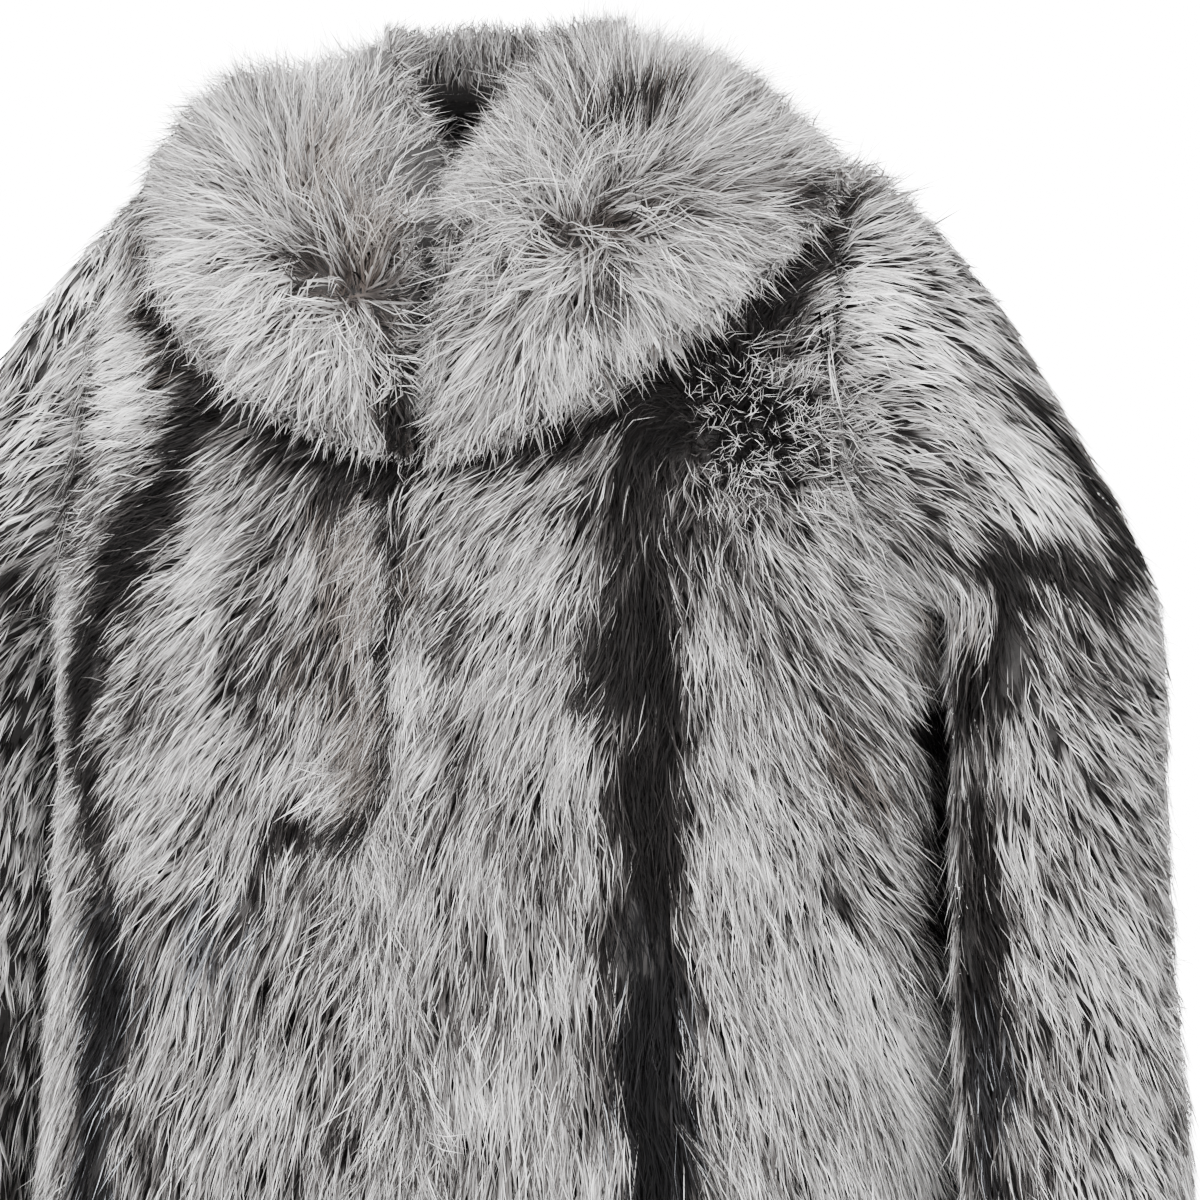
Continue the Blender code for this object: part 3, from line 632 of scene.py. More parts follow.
def silver_and_cast(fur, places, normals):
    """How silver the hair is at each place, darker where bands paint shade and shadow, and its cast."""
    patchy = soft_noise(places, 0.05, 11) + 0.6 * soft_noise(places, 0.018, 12)
    silver = fur.silver + SILVER_NOISE * patchy
    cast = np.full(len(places), NEUTRAL)
    seen = seen_share(normals)
    wander = BAND_WANDER * np.stack([soft_noise(places, 0.022, 14), soft_noise(places, 0.022, 15)], 1)
    spots = as_shown(places) + wander
    for band in COLLAR_BANDS if fur.node == "collar" else TRUNK_BANDS:
        weight = band.hold * np.exp(-(away_from_band(spots, band) ** BAND_EDGE)) * seen
        silver += weight * (band.silver - silver)
        cast = np.where(weight > CAST_FROM + 0.25 * soft_noise(places, 0.0025, 16), band.cast, cast)
    if fur.node in BODY_NODES:
        bearing = np.arctan2(places[:, 0], -places[:, 1])
        behind = 1 - smooth(normals @ SHOWN_WAY, -0.2, 0.0)
        for stripe in BACK_STRIPES:
            turn = (bearing - math.radians(stripe.bearing) + math.pi) % (2 * math.pi) - math.pi
            away = np.abs(turn * BACK_RADIUS + 1.6 * wander[:, 0]) / stripe.half_width
            weight = STRIPE_HOLD * np.exp(-(away**BAND_EDGE)) * behind
            silver += weight * (stripe.silver - silver)
            cast = np.where(weight > CAST_FROM, stripe.cast, cast)
    return np.clip(silver, 0, 1), cast


# ---------------- growing


def rooted_on(coat, fur):
    return coat.throat if fur.side == THROAT else coat.outer[fur.node]


def edge_distance(coat, fur, places):
    """How far each place is from the edge of its piece's fur."""
    border = coat.borders[fur.node]
    away = np.full(len(places), np.inf)
    for chunk in np.array_split(border, max(1, len(border) // 64)):
        gaps = np.linalg.norm(places[:, None] - chunk[None], axis=2).min(axis=1)
        away = np.minimum(away, gaps)
    return away


COVERED_REACH = 0.012  # fur with the collar this near above it is sparser
COVERED_DENSITY = 0.25


def seed_places(coat, fur, draw):
    """Where strands are rooted: spread by area, and denser at edges and where the hair is tousled."""
    faces = rooted_on(coat, fur)
    crosses = face_crosses(faces.points, faces.triangles)
    area = np.linalg.norm(crosses, axis=1) / 2
    normals = crosses / (2 * area[:, None])
    centres = faces.points[faces.triangles].mean(axis=1)
    weight = area * ((centres[:, fur.axis] < fur.high) & (centres[:, fur.axis] >= fur.low))
    if fur.side != THROAT:
        shown = (normals @ SHOWN_WAY > SHOWN_FACED) & (centres[:, 2] > SHOWN_DOWN_TO)
        weight *= shown == (fur.side == SHOWN)
        weight *= 1 + TOUSLE_DENSITY * tousle_at(fur, centres, normals)
        weight *= 1 + EDGE_DENSITY * np.exp(-((edge_distance(coat, fur, centres) / EDGE_REACH) ** 2))
    if fur.node != "collar":
        covered = meets(coat.trees["collar"], centres, normals, 0.0005, COVERED_REACH)
        weight *= np.where(covered, COVERED_DENSITY, 1.0)
    chosen = draw.choice(len(weight), fur.strands, p=weight / weight.sum())
    a, b = draw.random((2, fur.strands))
    fold = a + b > 1
    a, b = np.where(fold, 1 - a, a), np.where(fold, 1 - b, b)
    corners = faces.triangles[chosen]
    p, q, r = (faces.points[corners[:, i]] for i in range(3))
    places = p + a[:, None] * (q - p) + b[:, None] * (r - p)
    return places, normals_at(faces, corners, places)


# The shares of a piece's hair length that its strands have.
COLLAR_LENGTHS, TRUNK_LENGTHS = (0.60, 1.25), (0.78, 1.15)
SHORTEST = 0.014
COLLAR_SCATTER = 1.2  # how much more the collar's strands stray, wave, and cross at its edges
COLLAR_WAVES = 1.6
COLLAR_CROSSING = 1.6
FOLLOWS = 0.3  # strands follow the fur ahead if it still faces at least this squarely as it did
DROP = 0.009  # how far a strand may move off its straight line to keep to the fur


def room_ahead(fur, places, from_edge, draw):
    """How long a strand can be, so that few pass their piece's edge, the hem or the cuff."""
    count = len(places)
    if fur.side == THROAT:
        return from_edge - 0.003 + np.minimum(draw.exponential(0.005, count), 0.012)
    if fur.node == "collar":
        uneven = 0.004 * soft_noise(places, 0.012, 25)
        return from_edge - 0.006 + draw.exponential(0.006, count) + uneven
    lowest = CUFF_HEIGHT if fur.node in SLEEVE_NODES else HEM_HEIGHT
    return (places[:, 2] - (lowest - 0.006)) * 1.1


def strand_lines(coat, fur, places, normals, settings, draw):
    """Each strand's line over the outside of the fur: places, normals and ways at every step."""
    tousled = tousle_at(fur, places, normals)
    # What strands lie on, how closely, and how far they keep on the way they start.
    if fur.side == THROAT:
        lie_on, hug, stiff = coat.throat, 0.5, 0.0
    elif fur.node == "collar":
        hug = 0.4 + 0.4 * smooth(-places[:, 2:], 0.02, 0.06)
        lie_on, stiff = coat.outer["collar"], 0.45
    else:
        lie_on, hug, stiff = coat.trunk, 0.9, TOUSLE_STIFF * smooth(tousled[:, None], 0.25, 0.9)
    count = len(places)
    if fur.node == "collar":
        lengths, scatter, waves = COLLAR_LENGTHS, settings.swing_scatter * COLLAR_SCATTER, COLLAR_WAVES
        crossing = smooth(places[:, 2], -0.05, -0.02) * COLLAR_CROSSING
    else:
        lengths, scatter, waves, crossing = TRUNK_LENGTHS, settings.swing_scatter, 1.0, 1.0
    length = fur.length * settings.length_scale * draw.uniform(*lengths, count)
    length *= 1 + 0.12 * soft_noise(places, 0.06, 21)
    if fur.node != "collar":
        length *= 1 - TOUSLE_LENGTH * np.minimum(tousled, 1)
    from_edge = edge_distance(coat, fur, places)
    length = np.minimum(length, np.maximum(room_ahead(fur, places, from_edge, draw), SHORTEST))
    stray = draw.normal(0, 1, count) * (scatter + tousled)
    stray += waves * (0.15 * soft_noise(places, 0.030, 22) + 0.13 * soft_noise(places, 0.011, 23))
    stray += draw.normal(0, EDGE_STRAY, count) * crossing * np.exp(-((from_edge / EDGE_REACH) ** 2))
    lines, line_normals, line_ways = [places], [normals], []
    for _ in range(fur.steps):
        way = fall_ways(fur, lines[-1], line_normals[-1])
        side = np.cross(line_normals[-1], way)
        way = np.cos(stray)[:, None] * way + np.sin(stray)[:, None] * side
        if line_ways:
            way = (1 - stiff) * way + stiff * line_ways[-1]
        line_ways.append(unit(way))
        target = lines[-1] + way * (length / fur.steps)[:, None]
        spot, normal = nearest_on(lie_on, target)
        turned = np.sum(normal * line_normals[-1], axis=1, keepdims=True) < FOLLOWS
        normal = np.where(turned, line_normals[-1], normal)
        drop = np.clip(np.sum((spot - target) * normal, axis=1, keepdims=True), -DROP, DROP)
        lines.append(target + np.where(drop > 0, 1.0, hug) * drop * normal)
        line_normals.append(unit(normal + (1 - hug) * line_normals[-1]))
    line_ways.append(line_ways[-1])
    return np.array(lines), np.array(line_normals), np.array(line_ways), length


def root_depth(coat, fur, places):
    """How far under the top of the fur each strand is rooted."""
    if fur.side == THROAT:
        return np.full(len(places), 0.001)
    skin, _ = nearest_on(coat.skin[fur.node], places)
    loft = np.linalg.norm(skin - places, axis=1)
    if fur.node == "collar":
        return loft * (1 - COLLAR_CORE_SHARE)
    return np.maximum(loft - PELT_THICKNESS, 0.003)


PAINTED_DEPTH_SHADE = 0.05  # painted shade: how much darker strands are that lie as deep as their row's sunk says
COLLAR_PAINTED_DEPTH_SHADE = 0.19
OWN_SHADE = 0.56  # the share of a hair's shade that is its own, and not its strand's
COLLAR_OWN_SHADE = 0.45
# Shades of the paler and of the darker hairs: for none silver, how much more for all, their spread.
PALE_HAIRS, DARK_HAIRS = (0.50, 0.34, 0.13), (0.05, 0.42, 0.08)
PALE_TIPS, DARK_TIPS = 0.80, 0.08  # and where hair is tipped
BROWN_FROM = 0.35  # brown hair is even from this silver up


def hair_shades(fur, silver, cast, sunk, of_strand, draw):
    """How silver each hair is. Brown hair differs less within a strand, and sunk hair is darker, a
    painted shade for its depth.
    """
    count = len(of_strand)
    own = COLLAR_OWN_SHADE if fur.node == "collar" else OWN_SHADE
    chance = own * draw.random(count) + (1 - own) * draw.random(fur.strands)[of_strand]
    likely = silver[of_strand]
    kinds = (PALE_HAIRS, DARK_HAIRS)
    pale, dark = (draw.normal(base + more * likely, spread, count) for base, more, spread in kinds)
    shade = np.where(chance < np.clip((likely - 0.08) * 1.15, 0, 0.97), pale, dark)
    even = (cast[of_strand] == BROWN) & (likely > BROWN_FROM)
    shade = np.where(even, draw.normal(likely, 0.10, count), shade)
    grizzled = np.where(chance < 0.08 + likely, PALE_TIPS, DARK_TIPS) + draw.normal(0, 0.07, count)
    shade = np.where(cast[of_strand] == TIPPED, grizzled, shade)
    # painted shade: the deeper a strand lies, the darker it is painted
    deep = COLLAR_PAINTED_DEPTH_SHADE if fur.node == "collar" else PAINTED_DEPTH_SHADE
    return np.clip(shade - deep * sunk[of_strand] / fur.sunk, 0.01, 0.99)


# How many times the flyaway height the hair stands off, on the collar and elsewhere.
COLLAR_LOFT = 2.5
TRUNK_LOFT = 1.4
LOFTY_TOP = (0.010, 0.045, 0.5)  # in front, more from this height up to that, by this share
# A tuft on the shoulder stands off too: where it is seen, how far it goes, and how much more it has.
LOFTY_TUFT = (0.168, -0.040, 0.026, 4.0)
LOOSE_MEAN, NEAT_SPREAD = 0.55, 0.22  # shares of that height for loose hairs and for the others
SEAM_LIFT = 0.0045  # how far hair beside a seam lies over its neighbours
SEAM_REACH = 0.018
SEAM_BARE = 0.007  # no wide wool grows this near to a seam


def stand_off(fur, places, normals, loose, from_seam, of_strand, settings, draw):
    """How far each hair's tip stands off the lying fur."""
    count = len(of_strand)
    far = np.minimum(draw.exponential(LOOSE_MEAN, count), 1.0)
    near = np.abs(draw.normal(0, NEAT_SPREAD, count))
    fly = np.where(loose, far, near) * settings.flyaway
    if fur.node == "collar":
        low, high, more = LOFTY_TOP
        loft = COLLAR_LOFT * (1 + more * smooth(places[:, 2], low, high) * (places[:, 1] < 0))
        return fly * loft[of_strand]
    across, height, reach, more = LOFTY_TUFT
    away = np.linalg.norm(as_shown(places) - [across, height], axis=1) / reach
    loft = TRUNK_LOFT + more * np.exp(-(away**4)) * seen_share(normals)
    return fly * loft[of_strand] + SEAM_LIFT * np.exp(-((from_seam / SEAM_REACH) ** 2))


RISE = (1.7, 2.3)  # how soon hair rises from its root: evenly at 1, and the sooner the higher
SLANT = 1.1  # how much more evenly the collar's does, from the lower of these heights to the upper
SLANT_HEIGHTS = (-0.085, -0.015)
REACH = (-0.22, 0.10)  # how much shorter or longer than its strand a hair is, as a share
SPLAY = math.radians(3.0)
LOOSE_SPLAY, LOOSE_WIDTH = 4, 0.7  # how many times as splayed and as wide loose hairs are
COLLAR_LOOSE = 1.6  # how many times as many of the collar's hairs are loose
CURL = 0.0012  # how far hairs bend off their strand halfway
COLLAR_CURL = 1.7  # and how many times as far on the collar
SUNK_LIMIT = 0.75  # the share of their roots' depth that strands sink to at most
# Among the fine guard hairs, wide soft ones stand for the wool below them.
WOOLLY_SHARE = 0.32
WOOLLY_WIDTH = 2.3
WOOLLY_DEPTH = 0.28  # how much deeper its tips lie, as a share of the fur's depth
FINE_WIDTH = 0.74
WIDTHS = (0.7, 1.3)  # shares of a piece's hair width
ROLL = 0.6  # how far hairs roll on their own line, in radians
DARKER = 0.12  # a strand is as dark as the hair halfway to its tip, if that is darker by this much


def grow(coat, fur, settings):
    """Every hair of a piece: its points from root to tip, its width, roll, shade and cast."""
    collar = fur.node == "collar"
    draw = np.random.default_rng(settings.seed + FURS.index(fur))
    places, normals = seed_places(coat, fur, draw)
    tousled = tousle_at(fur, places, normals)
    lines, line_normals, line_ways, length = strand_lines(coat, fur, places, normals, settings, draw)
    depth = root_depth(coat, fur, places)
    silver, cast = silver_and_cast(fur, lines[-1], line_normals[-1])
    silver_before, cast_before = silver_and_cast(fur, 0.5 * (lines[-2] + lines[-1]), line_normals[-1])
    darker = silver_before < silver - DARKER
    silver, cast = np.where(darker, silver_before, silver), np.where(darker, cast_before, cast)
    sunk = np.abs(draw.normal(0, fur.sunk * settings.sunk_scale, fur.strands))
    hollows = 0.8 * fur.sunk * np.maximum(soft_noise(places, 0.009, 24), 0)
    sunk = np.minimum(sunk + hollows, SUNK_LIMIT * depth + 0.001)

    rise = draw.uniform(*RISE, fur.strands)
    if collar:
        rise -= SLANT * smooth(places[:, 2], *SLANT_HEIGHTS)
    of_strand = np.repeat(np.arange(fur.strands), fur.hairs)
    count = len(of_strand)
    radius = fur.radius * np.sqrt(draw.random(count))
    spin = draw.uniform(0, 2 * math.pi, count)
    aside, ahead = radius * np.cos(spin), radius * np.sin(spin)
    reach = draw.uniform(*REACH, count) * length[of_strand]
    splay = draw.normal(0, SPLAY, count) * length[of_strand]
    from_seam = edge_distance(coat, fur, places)[of_strand]
    woolly = (draw.random(count) < WOOLLY_SHARE) & (from_seam > SEAM_BARE)
    loose = (draw.random(count) < settings.loose_share * (COLLAR_LOOSE if collar else 1.0)) & ~woolly
    splay = np.where(loose, splay * LOOSE_SPLAY, splay)
    fly = stand_off(fur, places, normals, loose, from_seam, of_strand, settings, draw)
    curly = np.full(fur.strands, COLLAR_CURL) if collar else 1 + TOUSLE_CURL * tousled
    curl = draw.normal(0, CURL, (fur.steps + 1, count)) * curly[of_strand]
    sunk_hair = sunk[of_strand] + np.where(woolly, WOOLLY_DEPTH * depth[of_strand], 0)
    hairs = []
    for step in range(fur.steps + 1):
        share = step / fur.steps
        n, t = line_normals[step][of_strand], line_ways[step][of_strand]
        s = np.cross(n, t)
        together = 1 - fur.gather * share**1.2
        sink = depth[of_strand] * (1 - share) ** rise[of_strand] + sunk_hair * share - fly * share**2
        hair = lines[step][of_strand] - n * sink[:, None]
        hair += s * (aside * together + splay * share + curl[step] * math.sin(math.pi * share))[:, None]
        hair += t * (ahead * together + reach * share)[:, None]
        hairs.append(hair)
    width = fur.width * settings.width_scale * draw.uniform(*WIDTHS, count)
    width *= np.where(woolly, WOOLLY_WIDTH, FINE_WIDTH)
    width = np.where(loose, width * LOOSE_WIDTH, width)
    if not collar:
        width *= 1 - TOUSLE_THIN * np.minimum(tousled, 1)[of_strand]
    roll = draw.normal(0, ROLL, count)
    shade = hair_shades(fur, silver, cast, sunk, of_strand, draw)
    wool = silver[of_strand] * (0.5 + 0.4 * silver[of_strand]) + draw.normal(0, 0.05, count)
    shade = np.where(woolly, wool, shade).clip(0.01, 0.99)
    return np.array(hairs), width, roll, line_normals[1][of_strand], shade, cast[of_strand], fur.ripens


# The UV map has a row for each cast, where a hair runs up from root to tip, and the further right
# the more silver it is.
CAST_ROWS = 4
ROW_MARGIN = 0.02
HAIR_UV_WIDTH = 0.008
ROOT_WIDTH = 0.75  # of a hair's full width, which it has one step up
TAPER = 0.35  # the share of that which it loses on its way from there to the tip


def hair_points(hairs, width, roll, outward):
    """Points down both sides of each flat hair, then its tip."""
    steps, count = len(hairs) - 1, hairs.shape[1]
    along = np.gradient(hairs, axis=0)
    across = unit(np.cross(along, outward[None]))
    lift = unit(np.cross(across, along))
    across = np.cos(roll)[None, :, None] * across + np.sin(roll)[None, :, None] * lift
    share = np.arange(steps) / steps
    taper = np.where(share == 0, ROOT_WIDTH if steps > 1 else 1.0, 1.0 - TAPER * (share - 1 / steps))
    half = across[:-1] * (taper[:, None] * width / 2)[..., None]
    sides = np.stack([hairs[:-1] - half, hairs[:-1] + half], 2)
    return np.concatenate([sides.transpose(1, 0, 2, 3).reshape(count, -1, 3), hairs[-1][:, None]], 1)


def hair_mesh(name, hairs, width, roll, outward, shade, cast, ripens):
    """One mesh of flat tapering hairs. Its UV map says how silver each is, and root from tip."""
    steps, count = len(hairs) - 1, hairs.shape[1]
    points = hair_points(hairs, width, roll, outward)
    per_hair = 2 * steps + 1
    quads = [[2 * i, 2 * i + 1, 2 * i + 3, 2 * i + 2] for i in range(steps - 1)]
    corners = np.array(sum(quads, []) + [2 * steps - 2, 2 * steps - 1, 2 * steps])
    sizes = np.tile([4] * (steps - 1) + [3], count)
    loops = (corners[None] + per_hair * np.arange(count)[:, None]).reshape(-1)
    mesh = bpy.data.meshes.new(name)
    mesh.vertices.add(count * per_hair)
    mesh.vertices.foreach_set("co", points.reshape(-1).astype(np.float32))
    mesh.loops.add(len(loops))
    mesh.loops.foreach_set("vertex_index", loops.astype(np.int32))
    mesh.polygons.add(count * steps)
    mesh.polygons.foreach_set("loop_start", (np.cumsum(sizes) - sizes).astype(np.int32))
    uv = np.zeros((count, per_hair, 2))
    middle = HAIR_UV_WIDTH / 2 + shade * (1 - HAIR_UV_WIDTH)
    along = np.append(np.repeat(np.arange(steps) / steps, 2), 1.0) ** ripens
    sides = np.append(np.tile([-0.5, 0.5], steps), 0.0) * HAIR_UV_WIDTH
    uv[..., 0] = middle[:, None] + sides
    uv[..., 1] = (cast[:, None] + ROW_MARGIN + (1 - 2 * ROW_MARGIN) * along) / CAST_ROWS
    layer = mesh.uv_layers.new(name="OFBake")
    layer.data.foreach_set("uv", uv.reshape(-1, 2)[loops].reshape(-1).astype(np.float32))
    mesh.update(calc_edges=True)
    mesh.validate()
    return mesh


# ---------------- materials


def feed(tree, sockets, values):
    """Link each value to its socket, or set it there if it is a number or a colour."""
    for key, value in values.items():
        if isinstance(value, bpy.types.NodeSocket):
            tree.links.new(value, sockets[key])
        else:
            sockets[key].default_value = value


def new_node(tree, kind, inputs=None, **values):
    """A new node. Nodes stand in rows of eight, in the order in which they are made."""
    row, column = divmod(len(tree.nodes), 8)
    node = tree.nodes.new(kind)
    node.location = (220 * column, -340 * (row + 1))
    for name, value in values.items():
        setattr(node, name, value)
    feed(tree, node.inputs, inputs or {})
    return node


def maths(tree, operation, *values):
    return new_node(tree, "ShaderNodeMath", dict(enumerate(values)), operation=operation).outputs[0]


def mixed(tree, factor, first, second, blend="MIX"):
    inputs = {0: factor, 6: first, 7: second}
    return new_node(tree, "ShaderNodeMix", inputs, data_type="RGBA", blend_type=blend).outputs[2]


def smooth_step(tree, value, low, high):
    inputs = {0: value, 1: low, 2: high}
    node = new_node(tree, "ShaderNodeMapRange", inputs, interpolation_type="SMOOTHSTEP")
    return node.outputs["Result"]


SHADES = ("Black", "Charcoal", "Grey", "Silver", "White")
SHADE_STEPS = ((0.02, 0.22), (0.20, 0.46), (0.42, 0.70), (0.66, 0.95))  # from each to the next
ROOT_FADE = 0.36  # how long the dark root takes to end, as a share of the hair
STREAK_SCALE = (420.0, 8.0, 1.0)


def hair_colour_group():
    """Colour along a fox's hair from its place on the shade map: dark root, banded shaft, tip."""
    group = bpy.data.node_groups.get("fox hair colour")
    if group:
        return group
    group = bpy.data.node_groups.new("fox hair colour", "ShaderNodeTree")
    for name, way, kind in (
        ("Map", "INPUT", "Vector"),
        *((name, "INPUT", "Color") for name in ("Root", *SHADES)),
        ("Root Length", "INPUT", "Float"),
        ("Color", "OUTPUT", "Color"),
        ("Roughness", "OUTPUT", "Float"),
    ):
        group.interface.new_socket(name, in_out=way, socket_type="NodeSocket" + kind)
    given = new_node(group, "NodeGroupInput").outputs
    split = new_node(group, "ShaderNodeSeparateXYZ", {0: given["Map"]}).outputs
    rows = maths(group, "MULTIPLY", split["Y"], CAST_ROWS)
    along, cast = maths(group, "FRACT", rows), maths(group, "FLOOR", rows)

    # Each hair's own unevenness, drawn out along it.
    stretch = new_node(group, "ShaderNodeMapping", {0: given["Map"], "Scale": STREAK_SCALE})
    streaks = {"Vector": stretch.outputs[0], "Scale": 1.0, "Detail": 1.0}
    streak = new_node(group, "ShaderNodeTexNoise", streaks, noise_dimensions="2D").outputs["Fac"]
    shade = maths(group, "ADD", split["X"], maths(group, "MULTIPLY_ADD", streak, 0.30, -0.15))

    # The shaft's shade, over a dark root.
    colour = given[SHADES[0]]
    for name, (low, high) in zip(SHADES[1:], SHADE_STEPS):
        colour = mixed(group, smooth_step(group, shade, low, high), colour, given[name])
    root_end = given["Root Length"]
    root_start = maths(group, "SUBTRACT", root_end, ROOT_FADE)
    colour = mixed(group, smooth_step(group, along, root_start, root_end), given["Root"], colour)

    # Some hairs end in a dark tip.
    end, dark = smooth_step(group, along, 0.80, 1.0), smooth_step(group, streak, 0.58, 0.68)
    dark_end = maths(group, "MULTIPLY", maths(group, "MULTIPLY", end, dark), 0.6)
    colour = mixed(group, dark_end, colour, given["Charcoal"])

    # The casts. Tipped hair is black up to its pale end.
    for kind, tint in ((BLUISH, (0.86, 0.92, 1.0, 1)), (BROWN, (1.0, 0.945, 0.90, 1))):
        tinted = mixed(group, 1.0, colour, tint, "MULTIPLY")
        colour = mixed(group, maths(group, "COMPARE", cast, kind, 0.5), colour, tinted)
    end, pale = smooth_step(group, along, 0.42, 0.66), smooth_step(group, shade, 0.35, 0.55)
    grizzle = mixed(group, maths(group, "MULTIPLY", end, pale), given["Black"], colour)
    colour = mixed(group, maths(group, "COMPARE", cast, TIPPED, 0.5), colour, grizzle)
    roughness = maths(group, "MULTIPLY_ADD", streak, 0.25, 0.42)
    new_node(group, "NodeGroupOutput", {"Color": colour, "Roughness": roughness})
    return group


def new_material(name):
    """A material with nodes: itself, its node tree, and its shader's inputs."""
    material = bpy.data.materials.new(name)
    material.use_nodes = True
    tree = material.node_tree
    return material, tree, tree.nodes["Principled BSDF"].inputs


def fur_material(name, root, root_length, colours):
    material, tree, shader = new_material(name)
    inputs = {shade: (*getattr(colours, shade.lower()), 1) for shade in SHADES}
    inputs["Map"] = new_node(tree, "ShaderNodeUVMap", uv_map="OFBake").outputs[0]
    inputs.update({"Root": (*root, 1), "Root Length": root_length})
    made = new_node(tree, "ShaderNodeGroup", inputs, node_tree=hair_colour_group()).outputs
    feed(tree, shader, {"Base Color": made["Color"], "Roughness": made["Roughness"]})
    shader["Specular IOR Level"].default_value = 0.06
    return material


def pelt_material(name, tint):
    """Skin with short wool: dark, mottled, and rough."""
    material, tree, shader = new_material(name)
    place = new_node(tree, "ShaderNodeTexCoord").outputs["Object"]
    mottle = new_node(tree, "ShaderNodeTexNoise", {"Vector": place, "Scale": 260.0, "Detail": 4.0})
    mottle = mottle.outputs["Fac"]
    dark, light = ((*(share * part for part in tint), 1) for share in (0.5, 1.9))
    bump = new_node(tree, "ShaderNodeBump", {"Strength": 0.5, "Distance": 0.001, "Height": mottle})
    colour = mixed(tree, mottle, dark, light)
    feed(tree, shader, {"Base Color": colour, "Normal": bump.outputs["Normal"], "Roughness": 0.85})
    return material


# ---------------- the pelts

# The flat cut of each piece: width, length and area in metres, where it hangs from, and its slot.
Pelt = namedtuple("Pelt", "node width length area hangs_from slot")
PELTS = [
    Pelt("front_left", 0.42, 0.84, 0.26, ("collar", "back"), "body_fur"),
    Pelt("front_right", 0.42, 0.84, 0.27, ("collar", "back"), "body_fur"),
    Pelt("back", 0.74, 0.84, 0.50, ("collar",), "body_fur"),
    Pelt("sleeve_left", 0.42, 0.62, 0.20, ("front_left", "back"), "sleeve_fur"),
    Pelt("sleeve_right", 0.42, 0.62, 0.20, ("front_right", "back"), "sleeve_fur"),
    Pelt("collar", 0.80, 0.20, 0.13, ("front_left", "front_right", "back"), "collar_fur"),
]


def deselect_all():
    for obj in bpy.context.selected_objects:
        obj.select_set(False)


def link(obj):
    bpy.context.scene.collection.objects.link(obj)
    return obj


PRESSED_GAP = 0.028  # arm and side press on each other's fur where they are as near as this
PRESSED_HAIR = 0.005  # and there the pelt and its wool come so near to the fur's top
PRESSED_DOWN_FROM = -0.235


def pressed(coat, node, places):
    """Which places lie against the arm or the side, where the fur is as thick as the room there is."""
    others = BODY_NODES if node in SLEEVE_NODES else SLEEVE_NODES
    _, normals = nearest_on(coat.outer[node], places)
    against = [meets(coat.trees[other], places, normals, 0.0002, PRESSED_GAP) for other in others]
    return ((places[:, 2] < PRESSED_DOWN_FROM) & np.any(against, axis=0))[:, None]


def pelt_object(coat, pelt):
    """The node's wall thinned from its fur side, down to the wool that the hair grows through."""
    points, triangles = coat.meshes[pelt.node]
    if pelt.node == "collar":
        fur_side = np.unique(coat.outer[pelt.node].triangles)
    else:
        fur_side = np.setdiff1d(np.arange(len(points)), coat.skin[pelt.node].triangles)
    places = points[fur_side]
    skin, _ = nearest_on(coat.skin[pelt.node], places)
    loft = np.linalg.norm(places - skin, axis=1, keepdims=True)
    if pelt.node == "collar":
        share = np.full_like(loft, COLLAR_CORE_SHARE)
    else:
        share = np.minimum(PELT_THICKNESS / np.maximum(loft, 1e-6), 1)
        full = np.maximum(share, 1 - PRESSED_HAIR / loft)
        share = np.where(pressed(coat, pelt.node, places), full, share)
    moved = points.copy()
    moved[fur_side] = skin + (places - skin) * share
    mesh = bpy.data.meshes.new(pelt.node + "_pelt")
    mesh.from_pydata(moved.tolist(), [], triangles.tolist())
    mesh.shade_smooth()
    mesh.validate()
    return link(bpy.data.objects.new(pelt.node + "_pelt", mesh))


# ---------------- operators


@functools.cache
def the_coat():
    return Coat()


class COAT_OT_grow_fur(bpy.types.Operator):
    """Grow the hair of every piece"""

    bl_idname = "coat.grow_fur"
    bl_label = "Grow the fur"

    def execute(self, context):
        coat = the_coat()
        settings, colours = context.scene.coat_fur, context.scene.coat_colours
        materials = {
            part + "_fur": fur_material("fox fur, " + part, root, root_length, colours)
            for part, root, root_length in (
                ("body", colours.body_root, 0.62),
                ("sleeve", colours.body_root, 0.60),
                ("collar", colours.collar_root, 0.50),
            )
        }
        for fur in FURS:
            mesh = hair_mesh(fur.name, *grow(coat, fur, settings))
            obj = link(bpy.data.objects.new(fur.name, mesh))
            mesh.materials.append(materials[fur.slot])
            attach(obj, "root")
        return {"FINISHED"}


class COAT_OT_make_pelts(bpy.types.Operator):
    """Make the pelt under the hair of every piece"""

    bl_idname = "coat.make_pelts"
    bl_label = "Make the pelts"

    def execute(self, context):
        coat = the_coat()
        material = pelt_material("pelt under the fur", tuple(context.scene.coat_colours.pelt))
        for pelt in PELTS:
            obj = pelt_object(coat, pelt)
            obj.data.materials.append(material)
            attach(obj, "root")
            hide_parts(pelt.node)
        return {"FINISHED"}


CAMERA_TARGET = Vector((0.0464, 0.0169, -0.234))
CAMERA_DISTANCE = 2.1
CAMERA_AZIMUTH = math.radians(20)
CAMERA_ELEVATION = math.radians(2)
FRAME_WIDTH = 0.624  # metres across the picture at the target
FLOOR_HEIGHT = -1.42
FLOOR_SIZE = 6
FLOOR_COLOUR = (0.86, 0.86, 0.86, 1)
SENSOR_WIDTH = 36
BACKDROP_STRENGTH = 20.0  # of the white that the camera sees
WORLD_STRENGTH = 1.3  # of the light that it gives

Lamp = namedtuple("Lamp", "name place size power")
LAMPS = [
    Lamp("key light", (-1.2, -2.4, 1.9), 1.3, 330),
    Lamp("fill light", (2.2, -1.6, 0.6), 1.6, 140),
    Lamp("top light", (0.2, 0.6, 2.2), 1.6, 170),
    Lamp("back light", (-0.6, 2.6, 0.8), 1.6, 170),
]
LAMPS_AIM = Vector((0, 0, -0.3))


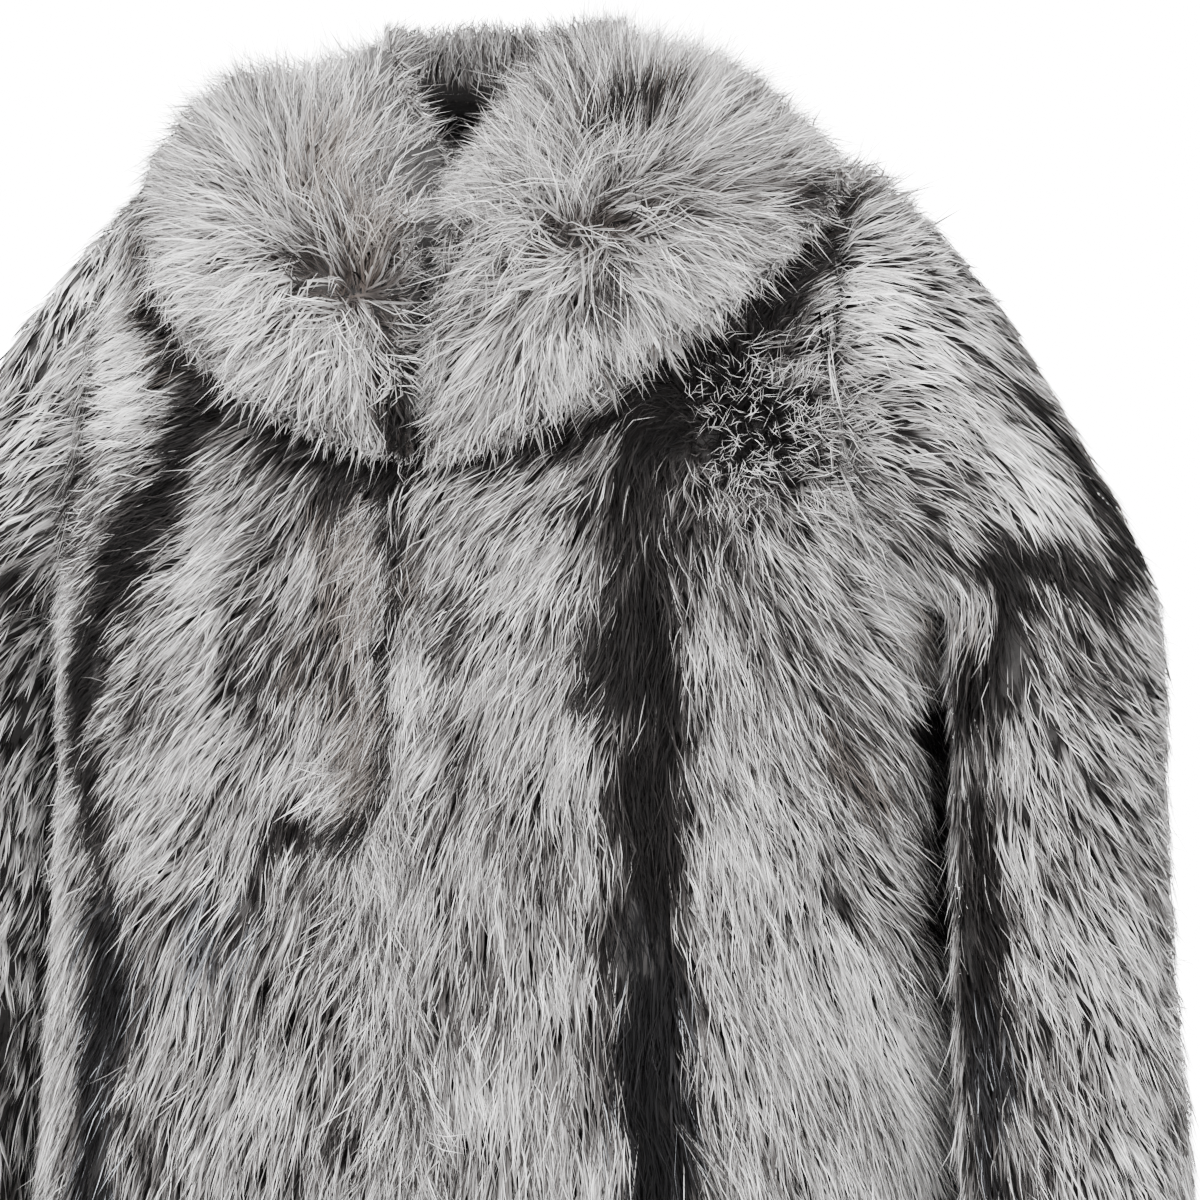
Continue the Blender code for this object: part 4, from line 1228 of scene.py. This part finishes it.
class COAT_OT_set_stage(bpy.types.Operator):
    """Set the floor, the lights and the camera"""

    bl_idname = "coat.set_stage"
    bl_label = "Set the stage"

    def execute(self, context):
        deselect_all()
        bpy.ops.mesh.primitive_plane_add(size=FLOOR_SIZE, location=(0, 0, FLOOR_HEIGHT))
        floor = context.object
        floor.name = "floor"
        paint, tree, shader = new_material("pale floor")
        feed(tree, shader, {"Base Color": FLOOR_COLOUR, "Roughness": 0.7})
        floor.data.materials.append(paint)

        for lamp in LAMPS:
            bpy.ops.object.light_add(type="AREA", location=lamp.place)
            light = context.object
            light.name = lamp.name
            light.data.size = lamp.size
            light.data.energy = lamp.power
            aim = LAMPS_AIM - Vector(lamp.place)
            light.rotation_euler = aim.to_track_quat("-Z", "Y").to_euler()

        world = bpy.data.worlds.new("white studio")
        context.scene.world = world
        world.use_nodes = True
        tree = world.node_tree
        seen = new_node(tree, "ShaderNodeLightPath").outputs["Is Camera Ray"]
        more = BACKDROP_STRENGTH - WORLD_STRENGTH
        strength = maths(tree, "MULTIPLY_ADD", seen, more, WORLD_STRENGTH)
        feed(tree, tree.nodes["Background"].inputs, {"Color": (1, 1, 1, 1), "Strength": strength})

        turn = Vector((math.sin(CAMERA_AZIMUTH), -math.cos(CAMERA_AZIMUTH), math.tan(CAMERA_ELEVATION)))
        bpy.ops.object.camera_add(
            location=CAMERA_TARGET + CAMERA_DISTANCE * turn.normalized(),
            rotation=(math.pi / 2 - CAMERA_ELEVATION, 0, CAMERA_AZIMUTH),
        )
        camera = context.object
        camera.name = "camera"
        camera.data.sensor_width = SENSOR_WIDTH
        camera.data.lens = SENSOR_WIDTH * CAMERA_DISTANCE / FRAME_WIDTH
        context.scene.camera = camera
        return {"FINISHED"}


class COAT_PT_panel(bpy.types.Panel):
    """The coat's settings and steps"""

    bl_idname = "COAT_PT_panel"
    bl_label = "Silver fox coat"
    bl_space_type = "VIEW_3D"
    bl_region_type = "UI"
    bl_category = "Coat"

    def draw(self, context):
        for settings in (context.scene.coat_fur, context.scene.coat_colours):
            for name in settings.__annotations__:
                self.layout.prop(settings, name)
        for operator in OPERATORS:
            self.layout.operator(operator.bl_idname)


OPERATORS = (COAT_OT_grow_fur, COAT_OT_make_pelts, COAT_OT_set_stage)
CLASSES = (CoatFurSettings, CoatColourSettings, *OPERATORS, COAT_PT_panel)


def register():
    for cls in CLASSES:
        bpy.utils.register_class(cls)
    bpy.types.Scene.coat_fur = bpy.props.PointerProperty(type=CoatFurSettings)
    bpy.types.Scene.coat_colours = bpy.props.PointerProperty(type=CoatColourSettings)


def unregister():
    del bpy.types.Scene.coat_colours
    del bpy.types.Scene.coat_fur
    for cls in reversed(CLASSES):
        bpy.utils.unregister_class(cls)


def main():
    register()
    deselect_all()
    bpy.ops.coat.grow_fur()
    bpy.ops.coat.make_pelts()
    bpy.ops.coat.set_stage()


if __name__ == "__main__":
    main()
